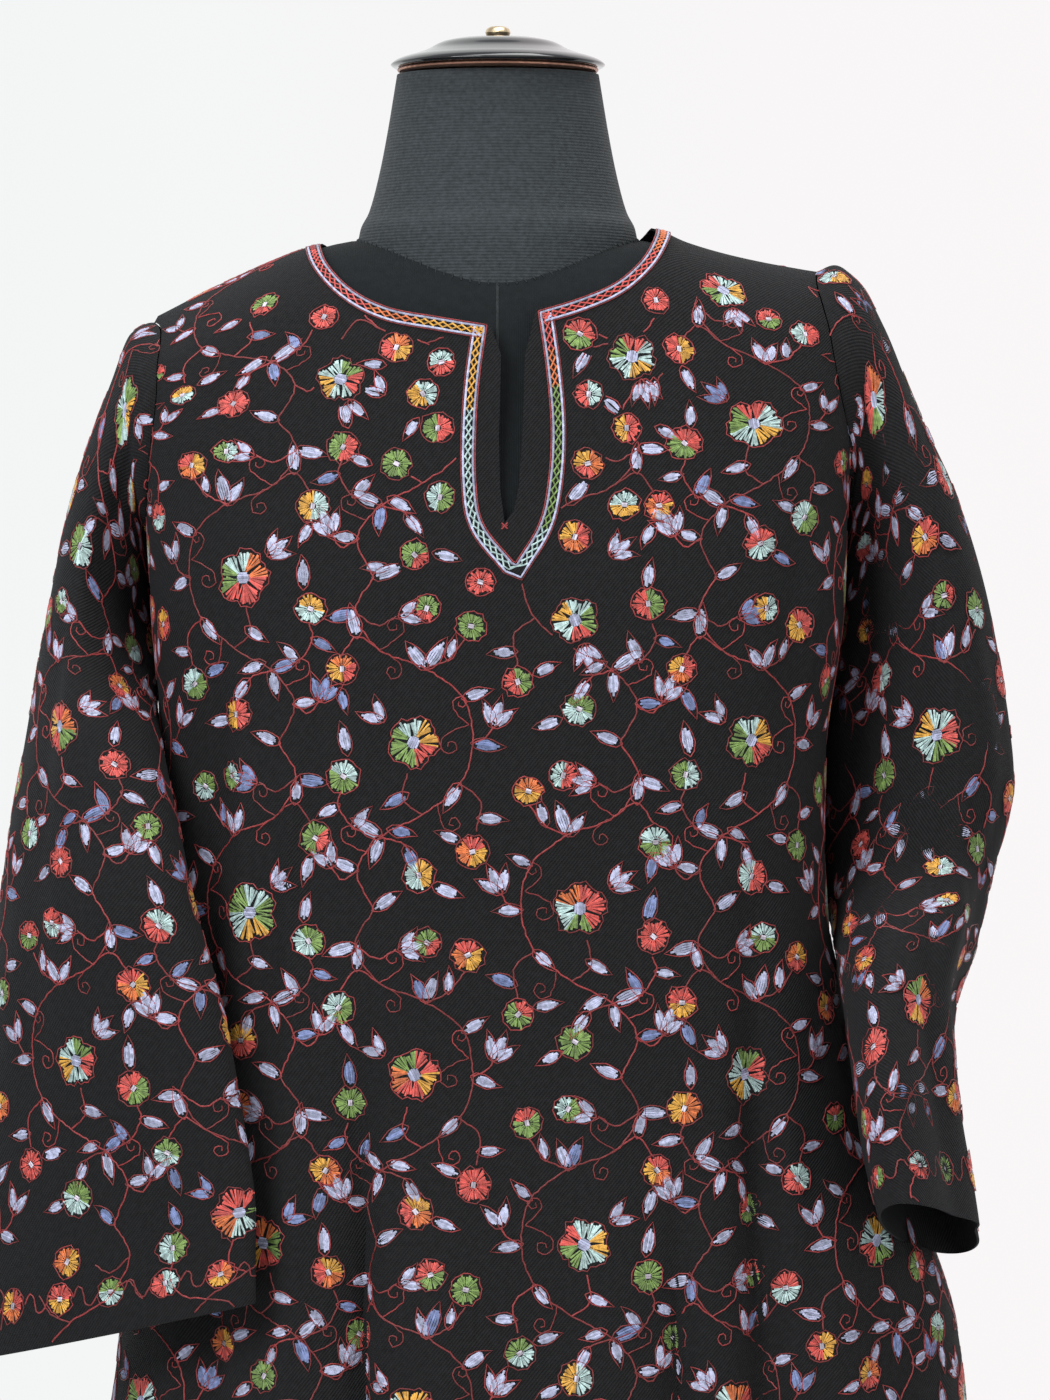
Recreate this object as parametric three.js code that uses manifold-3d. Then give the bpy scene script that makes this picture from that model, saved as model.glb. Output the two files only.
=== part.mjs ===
// A wool pheran (a loose A-line tunic with set-in wide sleeves and a round, slit neck)
// standing on a limbless dress form. Millimetres, +Z up, front faces -Y, floor at z = 0.
// The cloth is made of walls: a front, a back, two sleeves, each open where the garment is.
import * as THREE from "three";
import { mergeVertices } from "three/addons/utils/BufferGeometryUtils.js";
import Module from "manifold-3d";

const wasm = await Module();
wasm.setup();

// ---------------------------------------------------------------- driving dimensions
const CLOTH = 1.6; // wall of the wool cloth
const SEAM = 0.3; // gap between two pieces that are sewn together
const SHOULDER_Z = 1404; // shoulder line at the centre
const SIDE_LEVEL = 150; // drop below the shoulder line where the rows become level
const FRONT_COLUMNS = 34;
const BACK_COLUMNS = 26;
const SLEEVE_SEGMENTS = 24;
const FRONT_SKIRT_ROWS = 16; // rows of the grid below the chest
const BACK_SKIRT_ROWS = 12;
const SLEEVE_STEPS = 2; // rings for each row of a sleeve table
const NECK_SLIT_END_Z = 1239;
const BACK_NECK_Z = 1369;
const NECK_CUTTER = { top: 1460, front: -260, back: 200, steps: 14 }; // how far the neck's cut runs
const CORE_LOW = 230; // the body is solid down to this drop where it trims the sleeves
const CORE_STEP = 5; // degrees between the points of that solid's rings
const CORE_RIDGE = 2; // half thickness of its top edge
const RIDGE_LEAN = 0.3; // how far the cloth's normal leans outward along the shoulder line

// Shoulder line of the cloth from the side of one sleeve to the other.
const SHOULDER_LINE = [
  { x: -215, z: 1341 },
  { x: -186, z: 1356 },
  { x: -142, z: 1378 },
  { x: -98, z: 1395 },
  { x: -50, z: 1402 },
  { x: 0, z: 1405 },
  { x: 50, z: 1406 },
  { x: 84, z: 1404 },
  { x: 104, z: 1396 },
  { x: 124, z: 1390 },
  { x: 146, z: 1385 },
  { x: 168, z: 1381 },
  { x: 186, z: 1378 },
  { x: 215, z: 1370 },
];

// Rings of the body by their drop below the shoulder line: half widths to the left and
// right of the centre, depths to the front and back, and how square the ring is.
const BODY_ROWS = [
  { drop: 0, left: 187, right: 184, front: 0, back: 0, square: 2.6 },
  { drop: 3, left: 189, right: 187, front: 28, back: 28, square: 2.8 },
  { drop: 10, left: 191, right: 190, front: 49, back: 49, square: 3.2 },
  { drop: 22, left: 193, right: 192, front: 66, back: 66, square: 3.8 },
  { drop: 40, left: 194, right: 193, front: 80, back: 80, square: 4.2 },
  { drop: 65, left: 194, right: 194, front: 89, back: 88, square: 4.3 },
  { drop: 100, left: 194, right: 194, front: 97, back: 93, square: 4.2 },
  { drop: 150, left: 192, right: 192, front: 105, back: 97, square: 3.8 },
  { drop: 205, left: 190, right: 190, front: 112, back: 100, square: 3.3 },
  { drop: 284, left: 185, right: 180, front: 116, back: 101, square: 3.0 },
  { drop: 330, left: 185, right: 179, front: 117, back: 102, square: 3.0 },
  { drop: 375, left: 186, right: 181, front: 118, back: 104, square: 3.0 },
  { drop: 420, left: 188, right: 189, front: 121, back: 107, square: 2.9 },
  { drop: 470, left: 190, right: 203, front: 124, back: 110, square: 2.8 },
  { drop: 520, left: 194, right: 219, front: 128, back: 114, square: 2.7 },
  { drop: 562, left: 200, right: 240, front: 132, back: 118, square: 2.6 },
  { drop: 604, left: 206, right: 252, front: 136, back: 122, square: 2.5 },
  { drop: 645, left: 209, right: 257, front: 140, back: 126, square: 2.5 },
  { drop: 750, left: 224, right: 267, front: 150, back: 136, square: 2.4 },
  { drop: 870, left: 245, right: 276, front: 161, back: 148, square: 2.4 },
  { drop: 1000, left: 268, right: 286, front: 173, back: 161, square: 2.4 },
];

// Long folds of the body. Each runs from (topX, topDrop) to (endX, endDrop); depth is out of
// the cloth, so a trough is negative; width is the half width at the end.
const BODY_FOLDS = [
  { side: "front", topX: -160, topDrop: 170, endX: -152, endDrop: 1000, depth: -9, width: 15 },
  { side: "front", topX: -110, topDrop: 270, endX: -112, endDrop: 1000, depth: 5, width: 15 },
  { side: "front", topX: -72, topDrop: 380, endX: -80, endDrop: 1000, depth: -12, width: 16 },
  { side: "front", topX: -30, topDrop: 480, endX: -26, endDrop: 1000, depth: 7, width: 28 },
  { side: "front", topX: 60, topDrop: 420, endX: 62, endDrop: 1000, depth: 5, width: 24 },
  { side: "front", topX: 96, topDrop: 470, endX: 100, endDrop: 1000, depth: -8, width: 14 },
  { side: "front", topX: 136, topDrop: 300, endX: 152, endDrop: 1000, depth: -12, width: 16 },
  { side: "front", topX: 178, topDrop: 460, endX: 196, endDrop: 1000, depth: 8, width: 20 },
  { side: "front", topX: -205, topDrop: 560, endX: -210, endDrop: 1000, depth: 9, width: 22 },
  { side: "back", topX: -150, topDrop: 300, endX: -170, endDrop: 1000, depth: -10, width: 18 },
  { side: "back", topX: -95, topDrop: 360, endX: -104, endDrop: 1000, depth: 9, width: 26 },
  { side: "back", topX: -40, topDrop: 300, endX: -46, endDrop: 1000, depth: -9, width: 20 },
  { side: "back", topX: 28, topDrop: 380, endX: 30, endDrop: 1000, depth: 9, width: 26 },
  { side: "back", topX: 86, topDrop: 320, endX: 96, endDrop: 1000, depth: -11, width: 19 },
  { side: "back", topX: 150, topDrop: 340, endX: 168, endDrop: 1000, depth: 8, width: 26 },
];

// Rings of a sleeve, from inside the armhole to the cuff. Each row has the ring's outer point
// and inner point, its half depth from back to front, and how far its front edge is lifted.
const LEFT_SLEEVE = [
  { outX: -150, outZ: 1347, outY: 0, inX: -150, inZ: 1252, inY: 0, depth: 55, lift: 0 },
  { outX: -176, outZ: 1352, outY: 0, inX: -177, inZ: 1241, inY: 0, depth: 61, lift: 0 },
  { outX: -190, outZ: 1352, outY: 0, inX: -190, inZ: 1236, inY: 4, depth: 64, lift: 0 },
  { outX: -201, outZ: 1346, outY: 0, inX: -194.5, inZ: 1230, inY: 16, depth: 65, lift: 1 },
  { outX: -213, outZ: 1317, outY: -1, inX: -191.5, inZ: 1217, inY: 36, depth: 65, lift: 2 },
  { outX: -228, outZ: 1275, outY: -3, inX: -189.6, inZ: 1201, inY: 48, depth: 65, lift: 4 },
  { outX: -240, outZ: 1230, outY: -6, inX: -188.2, inZ: 1180, inY: 50, depth: 64, lift: 5 },
  { outX: -249, outZ: 1180, outY: -10, inX: -188, inZ: 1150, inY: 2, depth: 62, lift: 5 },
  { outX: -257, outZ: 1130, outY: -18, inX: -181.3, inZ: 1120, inY: -60, depth: 58, lift: 5 },
  { outX: -265, outZ: 1083, outY: -28, inX: -171.4, inZ: 1080, inY: -88, depth: 54, lift: 5 },
  { outX: -271, outZ: 1034, outY: -40, inX: -160.6, inZ: 1031, inY: -108, depth: 48, lift: 4 },
  { outX: -276, outZ: 975, outY: -46, inX: -145.2, inZ: 977, inY: -122, depth: 39, lift: 3 },
  { outX: -279, outZ: 912, outY: -50, inX: -134, inZ: 918, inY: -130, depth: 30, lift: 2 },
  { outX: -281, outZ: 848, outY: -53, inX: -128, inZ: 868, inY: -134, depth: 23, lift: 1 },
  { outX: -282, outZ: 787, outY: -55, inX: -128, inZ: 824, inY: -136, depth: 19, lift: 0 },
];
const RIGHT_SLEEVE = [
  { outX: 150, outZ: 1362, outY: 0, inX: 150, inZ: 1272, inY: 0, depth: 55, lift: 0 },
  { outX: 170, outZ: 1376, outY: 0, inX: 174, inZ: 1262, inY: 0, depth: 61, lift: 0 },
  { outX: 185, outZ: 1383, outY: 0, inX: 190, inZ: 1258, inY: 4, depth: 64, lift: 0 },
  { outX: 198, outZ: 1374, outY: 0, inX: 194.8, inZ: 1251, inY: 16, depth: 65, lift: 1 },
  { outX: 212, outZ: 1349, outY: 0, inX: 191.8, inZ: 1239, inY: 30, depth: 66, lift: 3 },
  { outX: 230, outZ: 1305, outY: -1, inX: 190.6, inZ: 1224, inY: 42, depth: 67, lift: 6 },
  { outX: 252, outZ: 1255, outY: -3, inX: 188.6, inZ: 1202, inY: 50, depth: 68, lift: 9 },
  { outX: 270, outZ: 1192, outY: -8, inX: 185.8, inZ: 1164, inY: 52, depth: 68, lift: 12 },
  { outX: 280, outZ: 1133, outY: -12, inX: 177, inZ: 1117, inY: 50, depth: 66, lift: 15 },
  { outX: 283, outZ: 1098, outY: -15, inX: 176.8, inZ: 1080, inY: 46, depth: 64, lift: 17 },
  { outX: 272, outZ: 1052, outY: -20, inX: 178.6, inZ: 1040, inY: 38, depth: 61, lift: 18 },
  { outX: 267, outZ: 1031, outY: -23, inX: 183, inZ: 1021, inY: -2, depth: 60, lift: 18 },
  { outX: 262, outZ: 1010, outY: -26, inX: 184.1, inZ: 1000, inY: -62, depth: 60, lift: 18 },
  { outX: 249, outZ: 968, outY: -38, inX: 188, inZ: 958, inY: -112, depth: 62, lift: 18 },
  { outX: 252, outZ: 914, outY: -48, inX: 194, inZ: 908, inY: -140, depth: 64, lift: 18 },
  { outX: 261, outZ: 850, outY: -58, inX: 202, inZ: 872, inY: -152, depth: 66, lift: 16 },
];

// Creases of the sleeves. round is the angle from the ring's outer edge over its front, in
// degrees; along is the place from the armhole (0) to the cuff (1).
const LEFT_CREASES = [
  { fromAlong: 0.26, fromRound: 62, toAlong: 0.6, toRound: 74, depth: 3.5, width: 15 },
  { fromAlong: 0.34, fromRound: 128, toAlong: 0.94, toRound: 118, depth: -3, width: 18 },
  { fromAlong: 0.2, fromRound: 150, toAlong: 0.5, toRound: 158, depth: 1.5, width: 13 },
];
const RIGHT_CREASES = [
  { fromAlong: 0.24, fromRound: 88, toAlong: 0.97, toRound: 48, depth: 6, width: 13 },
  { fromAlong: 0.26, fromRound: 122, toAlong: 0.62, toRound: 130, depth: -4, width: 17 },
  { fromAlong: 0.4, fromRound: 30, toAlong: 0.9, toRound: 18, depth: -3, width: 14 },
  { fromAlong: 0.24, fromRound: 138, toAlong: 0.7, toRound: 140, depth: 2.5, width: 14 },
];

// Neck opening seen from the front: from the left neck point down to the slit's corner, and
// from the slit's other corner up to the right neck point.
const NECK_LEFT = [
  { x: -98, z: 1396 },
  { x: -92, z: 1381 },
  { x: -78, z: 1366 },
  { x: -58, z: 1356 },
  { x: -32, z: 1351 },
  { x: -4, z: 1347 },
];
const NECK_RIGHT = [
  { x: 21, z: 1355 },
  { x: 44, z: 1361 },
  { x: 64, z: 1370 },
  { x: 78, z: 1383 },
  { x: 85, z: 1396 },
  { x: 87, z: 1406 },
];
const SLIT_LEFT = [
  { x: 2, z: 1330 },
  { x: 1, z: 1285 },
  { x: 1.5, z: 1258 },
];
const SLIT_RIGHT = [
  { x: 9, z: 1246 },
  { x: 11.5, z: 1258 },
  { x: 13.5, z: 1285 },
  { x: 15, z: 1330 },
];
const SLIT_END_X = 4;

// Torso of the form: the same kind of rings as the body of the garment.
const FORM_SHOULDER_LINE = [
  { x: -200, z: 1343 },
  { x: -182, z: 1354.2 },
  { x: -142, z: 1375.8 },
  { x: -98, z: 1392.7 },
  { x: -76, z: 1397 },
  { x: 0, z: 1399 },
  { x: 76, z: 1397 },
  { x: 98, z: 1392.7 },
  { x: 142, z: 1375.8 },
  { x: 182, z: 1358 },
  { x: 200, z: 1350 },
];
const FORM_ROWS = [
  { drop: 0, left: 168, right: 168, front: 0, back: 0, square: 2.6 },
  { drop: 3, left: 170, right: 170, front: 25, back: 21, square: 2.7 },
  { drop: 10, left: 171, right: 171, front: 46, back: 41, square: 2.8 },
  { drop: 24, left: 171, right: 171, front: 63, back: 60, square: 2.9 },
  { drop: 45, left: 170, right: 170, front: 75, back: 77, square: 2.9 },
  { drop: 80, left: 166, right: 166, front: 83, back: 85, square: 2.8 },
  { drop: 140, left: 156, right: 156, front: 96, back: 88, square: 2.6 },
  { drop: 195, left: 150, right: 150, front: 106, back: 87, square: 2.4 },
  { drop: 260, left: 140, right: 140, front: 96, back: 80, square: 2.3 },
  { drop: 360, left: 122, right: 122, front: 84, back: 76, square: 2.2 },
  { drop: 450, left: 142, right: 142, front: 92, back: 88, square: 2.2 },
  { drop: 550, left: 164, right: 164, front: 98, back: 104, square: 2.2 },
  { drop: 660, left: 166, right: 166, front: 98, back: 104, square: 2.2 },
  { drop: 690, left: 160, right: 160, front: 92, back: 98, square: 2.2 },
];
const FORM_COLUMNS = 20;
const NECK_ROWS = [
  { z: 1366, radius: 78 },
  { z: 1394, radius: 77 },
  { z: 1403, radius: 75.5 },
  { z: 1412, radius: 71 },
  { z: 1430, radius: 66 },
  { z: 1452, radius: 61.5 },
  { z: 1488, radius: 55.5 },
];
const NECK_SIDES = 40;
const NECK_DEPTH_RATIO = 0.86; // the neck is a little narrower from front to back
const CAP = { z: 1488.6, height: 19, crown: 0.4, sides: 48 };
// Outline of the cap: drop below its flat top and radius there.
const CAP_ROWS = [
  { drop: 0, radius: 24 },
  { drop: 1.6, radius: 31 },
  { drop: 6, radius: 39.6 },
  { drop: 8.6, radius: 47 },
  { drop: 10.6, radius: 53.7 },
  { drop: 12.6, radius: 57.6 },
  { drop: 14.2, radius: 59 },
  { drop: 15.2, radius: 58 },
];
const CAP_RIM = { inner: 46, radius: 55, height: 3, chamfer: 1.2 };
const KNOB = { radius: 7, height: 6.5, waist: 0.7, sides: 20 };
const POLE = { radius: 14, sides: 24 };
const BASE = { radius: 185, height: 26, plateHeight: 10, bevel: 8, hub: 30, foot: 14, sides: 56 };

// ---------------------------------------------------------------- small maths
const lerp = (a, b, t) => a + (b - a) * t;
const clamp = (value, low, high) => Math.min(high, Math.max(low, value));
const smooth = (t) => {
  const s = clamp(t, 0, 1);
  return s * s * (3 - 2 * s);
};
const radians = (degrees) => (degrees * Math.PI) / 180;

// A smooth curve through rows[column] over rows[key], without overshoot.
function track(rows, key, column) {
  const at = rows.map((row, index) => (key === null ? index : row[key]));
  const values = rows.map((row) => row[column]);
  const slopes = at.slice(1).map((x, i) => (values[i + 1] - values[i]) / (x - at[i]));
  const tangents = at.map((_, i) => {
    const before = slopes[Math.max(0, i - 1)];
    const after = slopes[Math.min(slopes.length - 1, i)];
    return before * after <= 0 ? 0 : (2 * before * after) / (before + after);
  });
  return (x) => {
    let i = 0;
    while (i < at.length - 2 && x > at[i + 1]) i += 1;
    const h = at[i + 1] - at[i];
    const t = clamp((x - at[i]) / h, 0, 1);
    const rise = (1 + 2 * t) * (1 - t) * (1 - t) * values[i] + t * t * (3 - 2 * t) * values[i + 1];
    return rise + h * t * (1 - t) * ((1 - t) * tangents[i] - t * tangents[i + 1]);
  };
}

const tracks = (rows, key, columns) =>
  Object.fromEntries(columns.map((column) => [column, track(rows, key, column)]));

// ---------------------------------------------------------------- surfaces
// A torso-like surface: turn is the angle round it (0 = centre front, 90 = right side,
// 180 = centre back), drop the distance below the shoulder line.
function torsoSurface(rows, shoulderLine, folds) {
  const ring = tracks(rows, "drop", ["left", "right", "front", "back", "square"]);
  const shoulder = track(shoulderLine, "x", "z");
  return (turn, drop) => {
    const sine = Math.sin(radians(turn));
    const cosine = Math.cos(radians(turn));
    const half = sine < 0 ? ring.left(drop) : ring.right(drop);
    const deep = cosine > 0 ? ring.front(drop) : ring.back(drop);
    const power = ring.square(drop);
    const scale = (Math.abs(sine) ** power + Math.abs(cosine) ** power) ** (-1 / power);
    const x = half * sine * scale;
    const y = -deep * cosine * scale;
    const level = smooth(drop / SIDE_LEVEL);
    const z = lerp(shoulder(x), SHOULDER_Z, level) - drop;
    const out = folds.length > 0 ? foldDepth(folds, cosine > 0 ? "front" : "back", x, drop) : 0;
    const outX = x / (half * half);
    const outY = deep > 0 ? y / (deep * deep) : 0;
    const length = Math.hypot(outX, outY) || 1;
    const side = Math.min(1, Math.abs(cosine) * 4);
    return new THREE.Vector3(x + (out * side * outX) / length, y + (out * side * outY) / length, z);
  };
}

function foldDepth(folds, side, x, drop) {
  let sum = 0;
  for (const fold of folds) {
    if (fold.side !== side || drop < fold.topDrop) continue;
    const along = (drop - fold.topDrop) / (fold.endDrop - fold.topDrop);
    const centre = lerp(fold.topX, fold.endX, along);
    const width = fold.width * lerp(0.6, 1, along);
    const across = (x - centre) / width;
    sum += fold.depth * smooth(along * 3) * Math.exp(-across * across);
  }
  return sum;
}

// A sleeve: along runs from 0 at the armhole to 1 at the cuff, round is in degrees from the
// outer edge over the front.
function sleeveSurface(rows, creases) {
  const columns = ["outX", "outY", "outZ", "inX", "inY", "inZ", "depth", "lift"];
  const ring = tracks(rows, null, columns);
  return (round, along) => {
    const row = along * (rows.length - 1);
    const outer = new THREE.Vector3(ring.outX(row), ring.outY(row), ring.outZ(row));
    const inner = new THREE.Vector3(ring.inX(row), ring.inY(row), ring.inZ(row));
    const centre = outer.clone().add(inner).multiplyScalar(0.5);
    const across = outer.clone().sub(inner).multiplyScalar(0.5);
    const deep = new THREE.Vector3(0, -ring.depth(row), ring.lift(row));
    const cosine = Math.cos(radians(round));
    const sine = Math.sin(radians(round));
    const point = centre.clone().addScaledVector(across, cosine).addScaledVector(deep, sine);
    const away = across.clone().multiplyScalar(cosine / across.lengthSq());
    away.addScaledVector(deep, sine / deep.lengthSq()).normalize();
    return point.addScaledVector(away, creaseDepth(creases, round, along));
  };
}

function creaseDepth(creases, round, along) {
  let sum = 0;
  for (const crease of creases) {
    const place = (along - crease.fromAlong) / (crease.toAlong - crease.fromAlong);
    if (place < 0) continue;
    const centre = lerp(crease.fromRound, crease.toRound, Math.min(1, place));
    const across = (((round - centre + 540) % 360) - 180) / crease.width;
    const fade = smooth(place * 4) * smooth((1.25 - place) * 4);
    sum += crease.depth * fade * Math.exp(-across * across);
  }
  return sum;
}

// Outward normal of a surface by central differences.
function normalAt(surface, u, v, stepU, stepV, lowV, highV) {
  const du = surface(u + stepU, v).sub(surface(u - stepU, v));
  const dv = surface(u, Math.min(highV, v + stepV)).sub(surface(u, Math.max(lowV, v - stepV)));
  return dv.cross(du).normalize();
}

// ---------------------------------------------------------------- meshes
class Shell {
  constructor() {
    this.points = [];
    this.faces = [];
  }
  add(point) {
    this.points.push(point.x, point.y, point.z);
    return this.points.length / 3 - 1;
  }
  quad(a, b, c, d) {
    this.faces.push(a, b, c, a, c, d);
  }
  geometry() {
    const geometry = new THREE.BufferGeometry();
    geometry.setAttribute("position", new THREE.Float32BufferAttribute(this.points, 3));
    geometry.setIndex(this.faces);
    return geometry;
  }
}

// A wall over a grid of outer points with their normals; the grid's own edges are closed.
function wallOverGrid(outer, normals, thickness, closedRound) {
  const shell = new Shell();
  const top = outer.map((line) => line.map((point) => shell.add(point)));
  const under = outer.map((line, j) =>
    line.map((point, i) => shell.add(point.clone().addScaledVector(normals[j][i], -thickness))),
  );
  const last = outer.length - 1;
  const count = outer[0].length;
  const spans = closedRound ? count : count - 1;
  for (let i = 0; i < spans; i += 1) {
    const next = (i + 1) % count;
    for (let j = 0; j < last; j += 1) {
      shell.quad(top[j][i], top[j + 1][i], top[j + 1][next], top[j][next]);
      shell.quad(under[j][i], under[j][next], under[j + 1][next], under[j + 1][i]);
    }
    shell.quad(top[0][i], top[0][next], under[0][next], under[0][i]);
    shell.quad(top[last][i], under[last][i], under[last][next], top[last][next]);
  }
  for (let j = 0; j < last && !closedRound; j += 1) {
    shell.quad(top[j][0], under[j][0], under[j + 1][0], top[j + 1][0]);
    const end = count - 1;
    shell.quad(top[j][end], top[j + 1][end], under[j + 1][end], under[j][end]);
  }
  return shell.geometry();
}

// A solid with rings of points, closed by a fan at each end.
function solidOverRings(rings) {
  const shell = new Shell();
  const rows = rings.map((ring) => ring.map((point) => shell.add(point)));
  const count = rings[0].length;
  const middle = (ring) =>
    ring.reduce((sum, point) => sum.add(point), new THREE.Vector3()).divideScalar(count);
  const first = shell.add(middle(rings[0]));
  const last = shell.add(middle(rings[rings.length - 1]));
  for (let i = 0; i < count; i += 1) {
    const next = (i + 1) % count;
    for (let j = 0; j < rings.length - 1; j += 1) {
      shell.quad(rows[j][i], rows[j + 1][i], rows[j + 1][next], rows[j][next]);
    }
    shell.faces.push(first, rows[0][i], rows[0][next]);
    shell.faces.push(last, rows[rings.length - 1][next], rows[rings.length - 1][i]);
  }
  return shell.geometry();
}

// ---------------------------------------------------------------- adding and cutting
function toManifold(geometry) {
  const bare = geometry.clone();
  bare.deleteAttribute("normal");
  bare.deleteAttribute("uv");
  const merged = mergeVertices(bare, 1e-4);
  return new wasm.Manifold(
    new wasm.Mesh({
      numProp: 3,
      vertProperties: new Float32Array(merged.attributes.position.array),
      triVerts: new Uint32Array(merged.index.array),
    }),
  );
}

function fromManifold(solid) {
  const mesh = solid.getMesh();
  const geometry = new THREE.BufferGeometry();
  geometry.setAttribute("position", new THREE.BufferAttribute(mesh.vertProperties, 3));
  geometry.setIndex(new THREE.BufferAttribute(mesh.triVerts, 1));
  return geometry;
}

// ---------------------------------------------------------------- body of the garment
const bodySurface = torsoSurface(BODY_ROWS, SHOULDER_LINE, BODY_FOLDS);
const HEM_DROP = BODY_ROWS[BODY_ROWS.length - 1].drop;

// The rows of the grid: close together over the shoulder, wider down the skirt.
function bodyDrops(rowsDown) {
  const shoulderDrops = [0, 3, 9, 18, 31, 48, 70, 98, 130, 165];
  const start = shoulderDrops[shoulderDrops.length - 1];
  const skirt = Array.from({ length: rowsDown }, (_, i) => lerp(start, HEM_DROP, (i + 1) / rowsDown));
  return shoulderDrops.concat(skirt);
}

// A front or back panel, from one side seam to the other. sign is -1 at the front.
function panelGeometry(sign, columns, rowsDown) {
  const outer = [];
  const normals = [];
  for (const drop of bodyDrops(rowsDown)) {
    const line = [];
    const lineNormals = [];
    for (let i = 0; i <= columns; i += 1) {
      const across = lerp(-90, 90, i / columns);
      const turn = sign < 0 ? across : 180 - across;
      const edge = i === 0 || i === columns || drop === 0;
      const safeDrop = Math.max(drop, 0.5);
      const point = bodySurface(turn, drop);
      const normal = normalAt(bodySurface, turn, safeDrop, 0.5, 0.5, 0, HEM_DROP);
      if (sign > 0 && normal.y < 0) normal.y = 0;
      if (sign < 0 && normal.y > 0) normal.y = 0;
      if (edge) {
        point.y = (sign * SEAM) / 2;
        normal.y = 0;
      }
      if (drop === 0) normal.set(normal.x * RIDGE_LEAN, 0, 1);
      line.push(point);
      lineNormals.push(normal.normalize());
    }
    outer.push(sign < 0 ? line : line.reverse());
    normals.push(sign < 0 ? lineNormals : lineNormals.reverse());
  }
  return wallOverGrid(outer, normals, CLOTH, false);
}

// Everything inside the cloth's outer face down to lowDrop, grown by the seam's gap.
function bodyCore(lowDrop) {
  const rings = [];
  for (const drop of bodyDrops(FRONT_SKIRT_ROWS).filter((value) => value <= lowDrop)) {
    const ring = [];
    for (let turn = 0; turn < 360; turn += CORE_STEP) {
      const point = bodySurface(turn, drop);
      const normal = normalAt(bodySurface, turn, Math.max(drop, 0.5), 0.5, 0.5, 0, HEM_DROP);
      if (drop === 0) normal.set(0, 0, 1);
      ring.push(point.addScaledVector(normal, SEAM));
    }
    rings.push(ring);
  }
  rings[0].forEach((point, i) => {
    point.y = -CORE_RIDGE * Math.cos(radians(i * CORE_STEP));
  });
  return solidOverRings(rings);
}

// ---------------------------------------------------------------- sleeves
function sleeveRings(surface, rows, grow) {
  const steps = (rows.length - 1) * SLEEVE_STEPS;
  const side = Math.sign(rows[0].outX);
  const rings = [];
  const normals = [];
  for (let j = 0; j <= steps; j += 1) {
    const ring = [];
    const ringNormals = [];
    for (let i = 0; i < SLEEVE_SEGMENTS; i += 1) {
      const round = (-side * i * 360) / SLEEVE_SEGMENTS;
      const normal = normalAt(surface, round, j / steps, side, 0.01, 0, 1).negate();
      ring.push(surface(round, j / steps).addScaledVector(normal, grow));
      ringNormals.push(normal);
    }
    rings.push(ring);
    normals.push(ringNormals);
  }
  return { rings, normals };
}

// ---------------------------------------------------------------- neck opening
function neckCutter(points, low, high) {
  const shape = new THREE.Shape(points.map((point) => new THREE.Vector2(point.x, point.z)));
  const geometry = new THREE.ExtrudeGeometry(shape, { depth: high - low, bevelEnabled: false });
  geometry.rotateX(Math.PI / 2);
  geometry.translate(0, high, 0);
  return toManifold(geometry);
}

// Points of a table's curve, evenly spaced.
function curvePoints(table, count) {
  const curve = new THREE.CatmullRomCurve3(table.map((row) => new THREE.Vector3(row.x, 0, row.z)));
  return curve.getPoints(count);
}

function frontNeck() {
  const outline = [
    { x: NECK_LEFT[0].x, z: NECK_CUTTER.top },
    ...curvePoints(NECK_LEFT, NECK_CUTTER.steps),
    ...SLIT_LEFT,
    { x: SLIT_END_X, z: NECK_SLIT_END_Z },
    ...SLIT_RIGHT,
    ...curvePoints(NECK_RIGHT, NECK_CUTTER.steps),
    { x: NECK_RIGHT[NECK_RIGHT.length - 1].x, z: NECK_CUTTER.top },
  ];
  return neckCutter(outline, NECK_CUTTER.front, 0);
}

function backNeck() {
  const left = NECK_LEFT[0];
  const right = NECK_RIGHT[NECK_RIGHT.length - 1];
  const outline = [{ x: left.x, z: NECK_CUTTER.top }];
  for (let i = 0; i <= NECK_CUTTER.steps; i += 1) {
    const t = i / NECK_CUTTER.steps;
    const dip = 4 * t * (1 - t);
    outline.push({
      x: lerp(left.x, right.x, t),
      z: lerp(lerp(left.z, right.z, t), BACK_NECK_Z, dip),
    });
  }
  outline.push({ x: right.x, z: NECK_CUTTER.top });
  return neckCutter(outline, 0, NECK_CUTTER.back);
}

// ---------------------------------------------------------------- dress form
const formSurface = torsoSurface(FORM_ROWS, FORM_SHOULDER_LINE, []);

function formTorso() {
  const rings = FORM_ROWS.map(({ drop }) => {
    const ring = [];
    for (let i = 0; i < FORM_COLUMNS * 2; i += 1) {
      const turn = (i * 180) / FORM_COLUMNS;
      const point = formSurface(turn, drop);
      if (drop === 0) point.y = 0;
      ring.push(point);
    }
    return ring;
  });
  return ridgeSolid(rings);
}

// A solid whose first ring is folded flat into a ridge, with a level floor.
function ridgeSolid(rings) {
  const shell = new Shell();
  const rows = rings.map((ring) => ring.map((point) => shell.add(point)));
  const count = rings[0].length;
  const lastRow = rows[rows.length - 1];
  const middle = new THREE.Vector3(0, 0, rings[rings.length - 1][0].z);
  const floor = shell.add(middle);
  for (let i = 0; i < count; i += 1) {
    const next = (i + 1) % count;
    for (let j = 0; j < rings.length - 1; j += 1) {
      shell.quad(rows[j][i], rows[j + 1][i], rows[j + 1][next], rows[j][next]);
    }
    shell.faces.push(floor, lastRow[next], lastRow[i]);
  }
  return shell.geometry();
}

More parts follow.
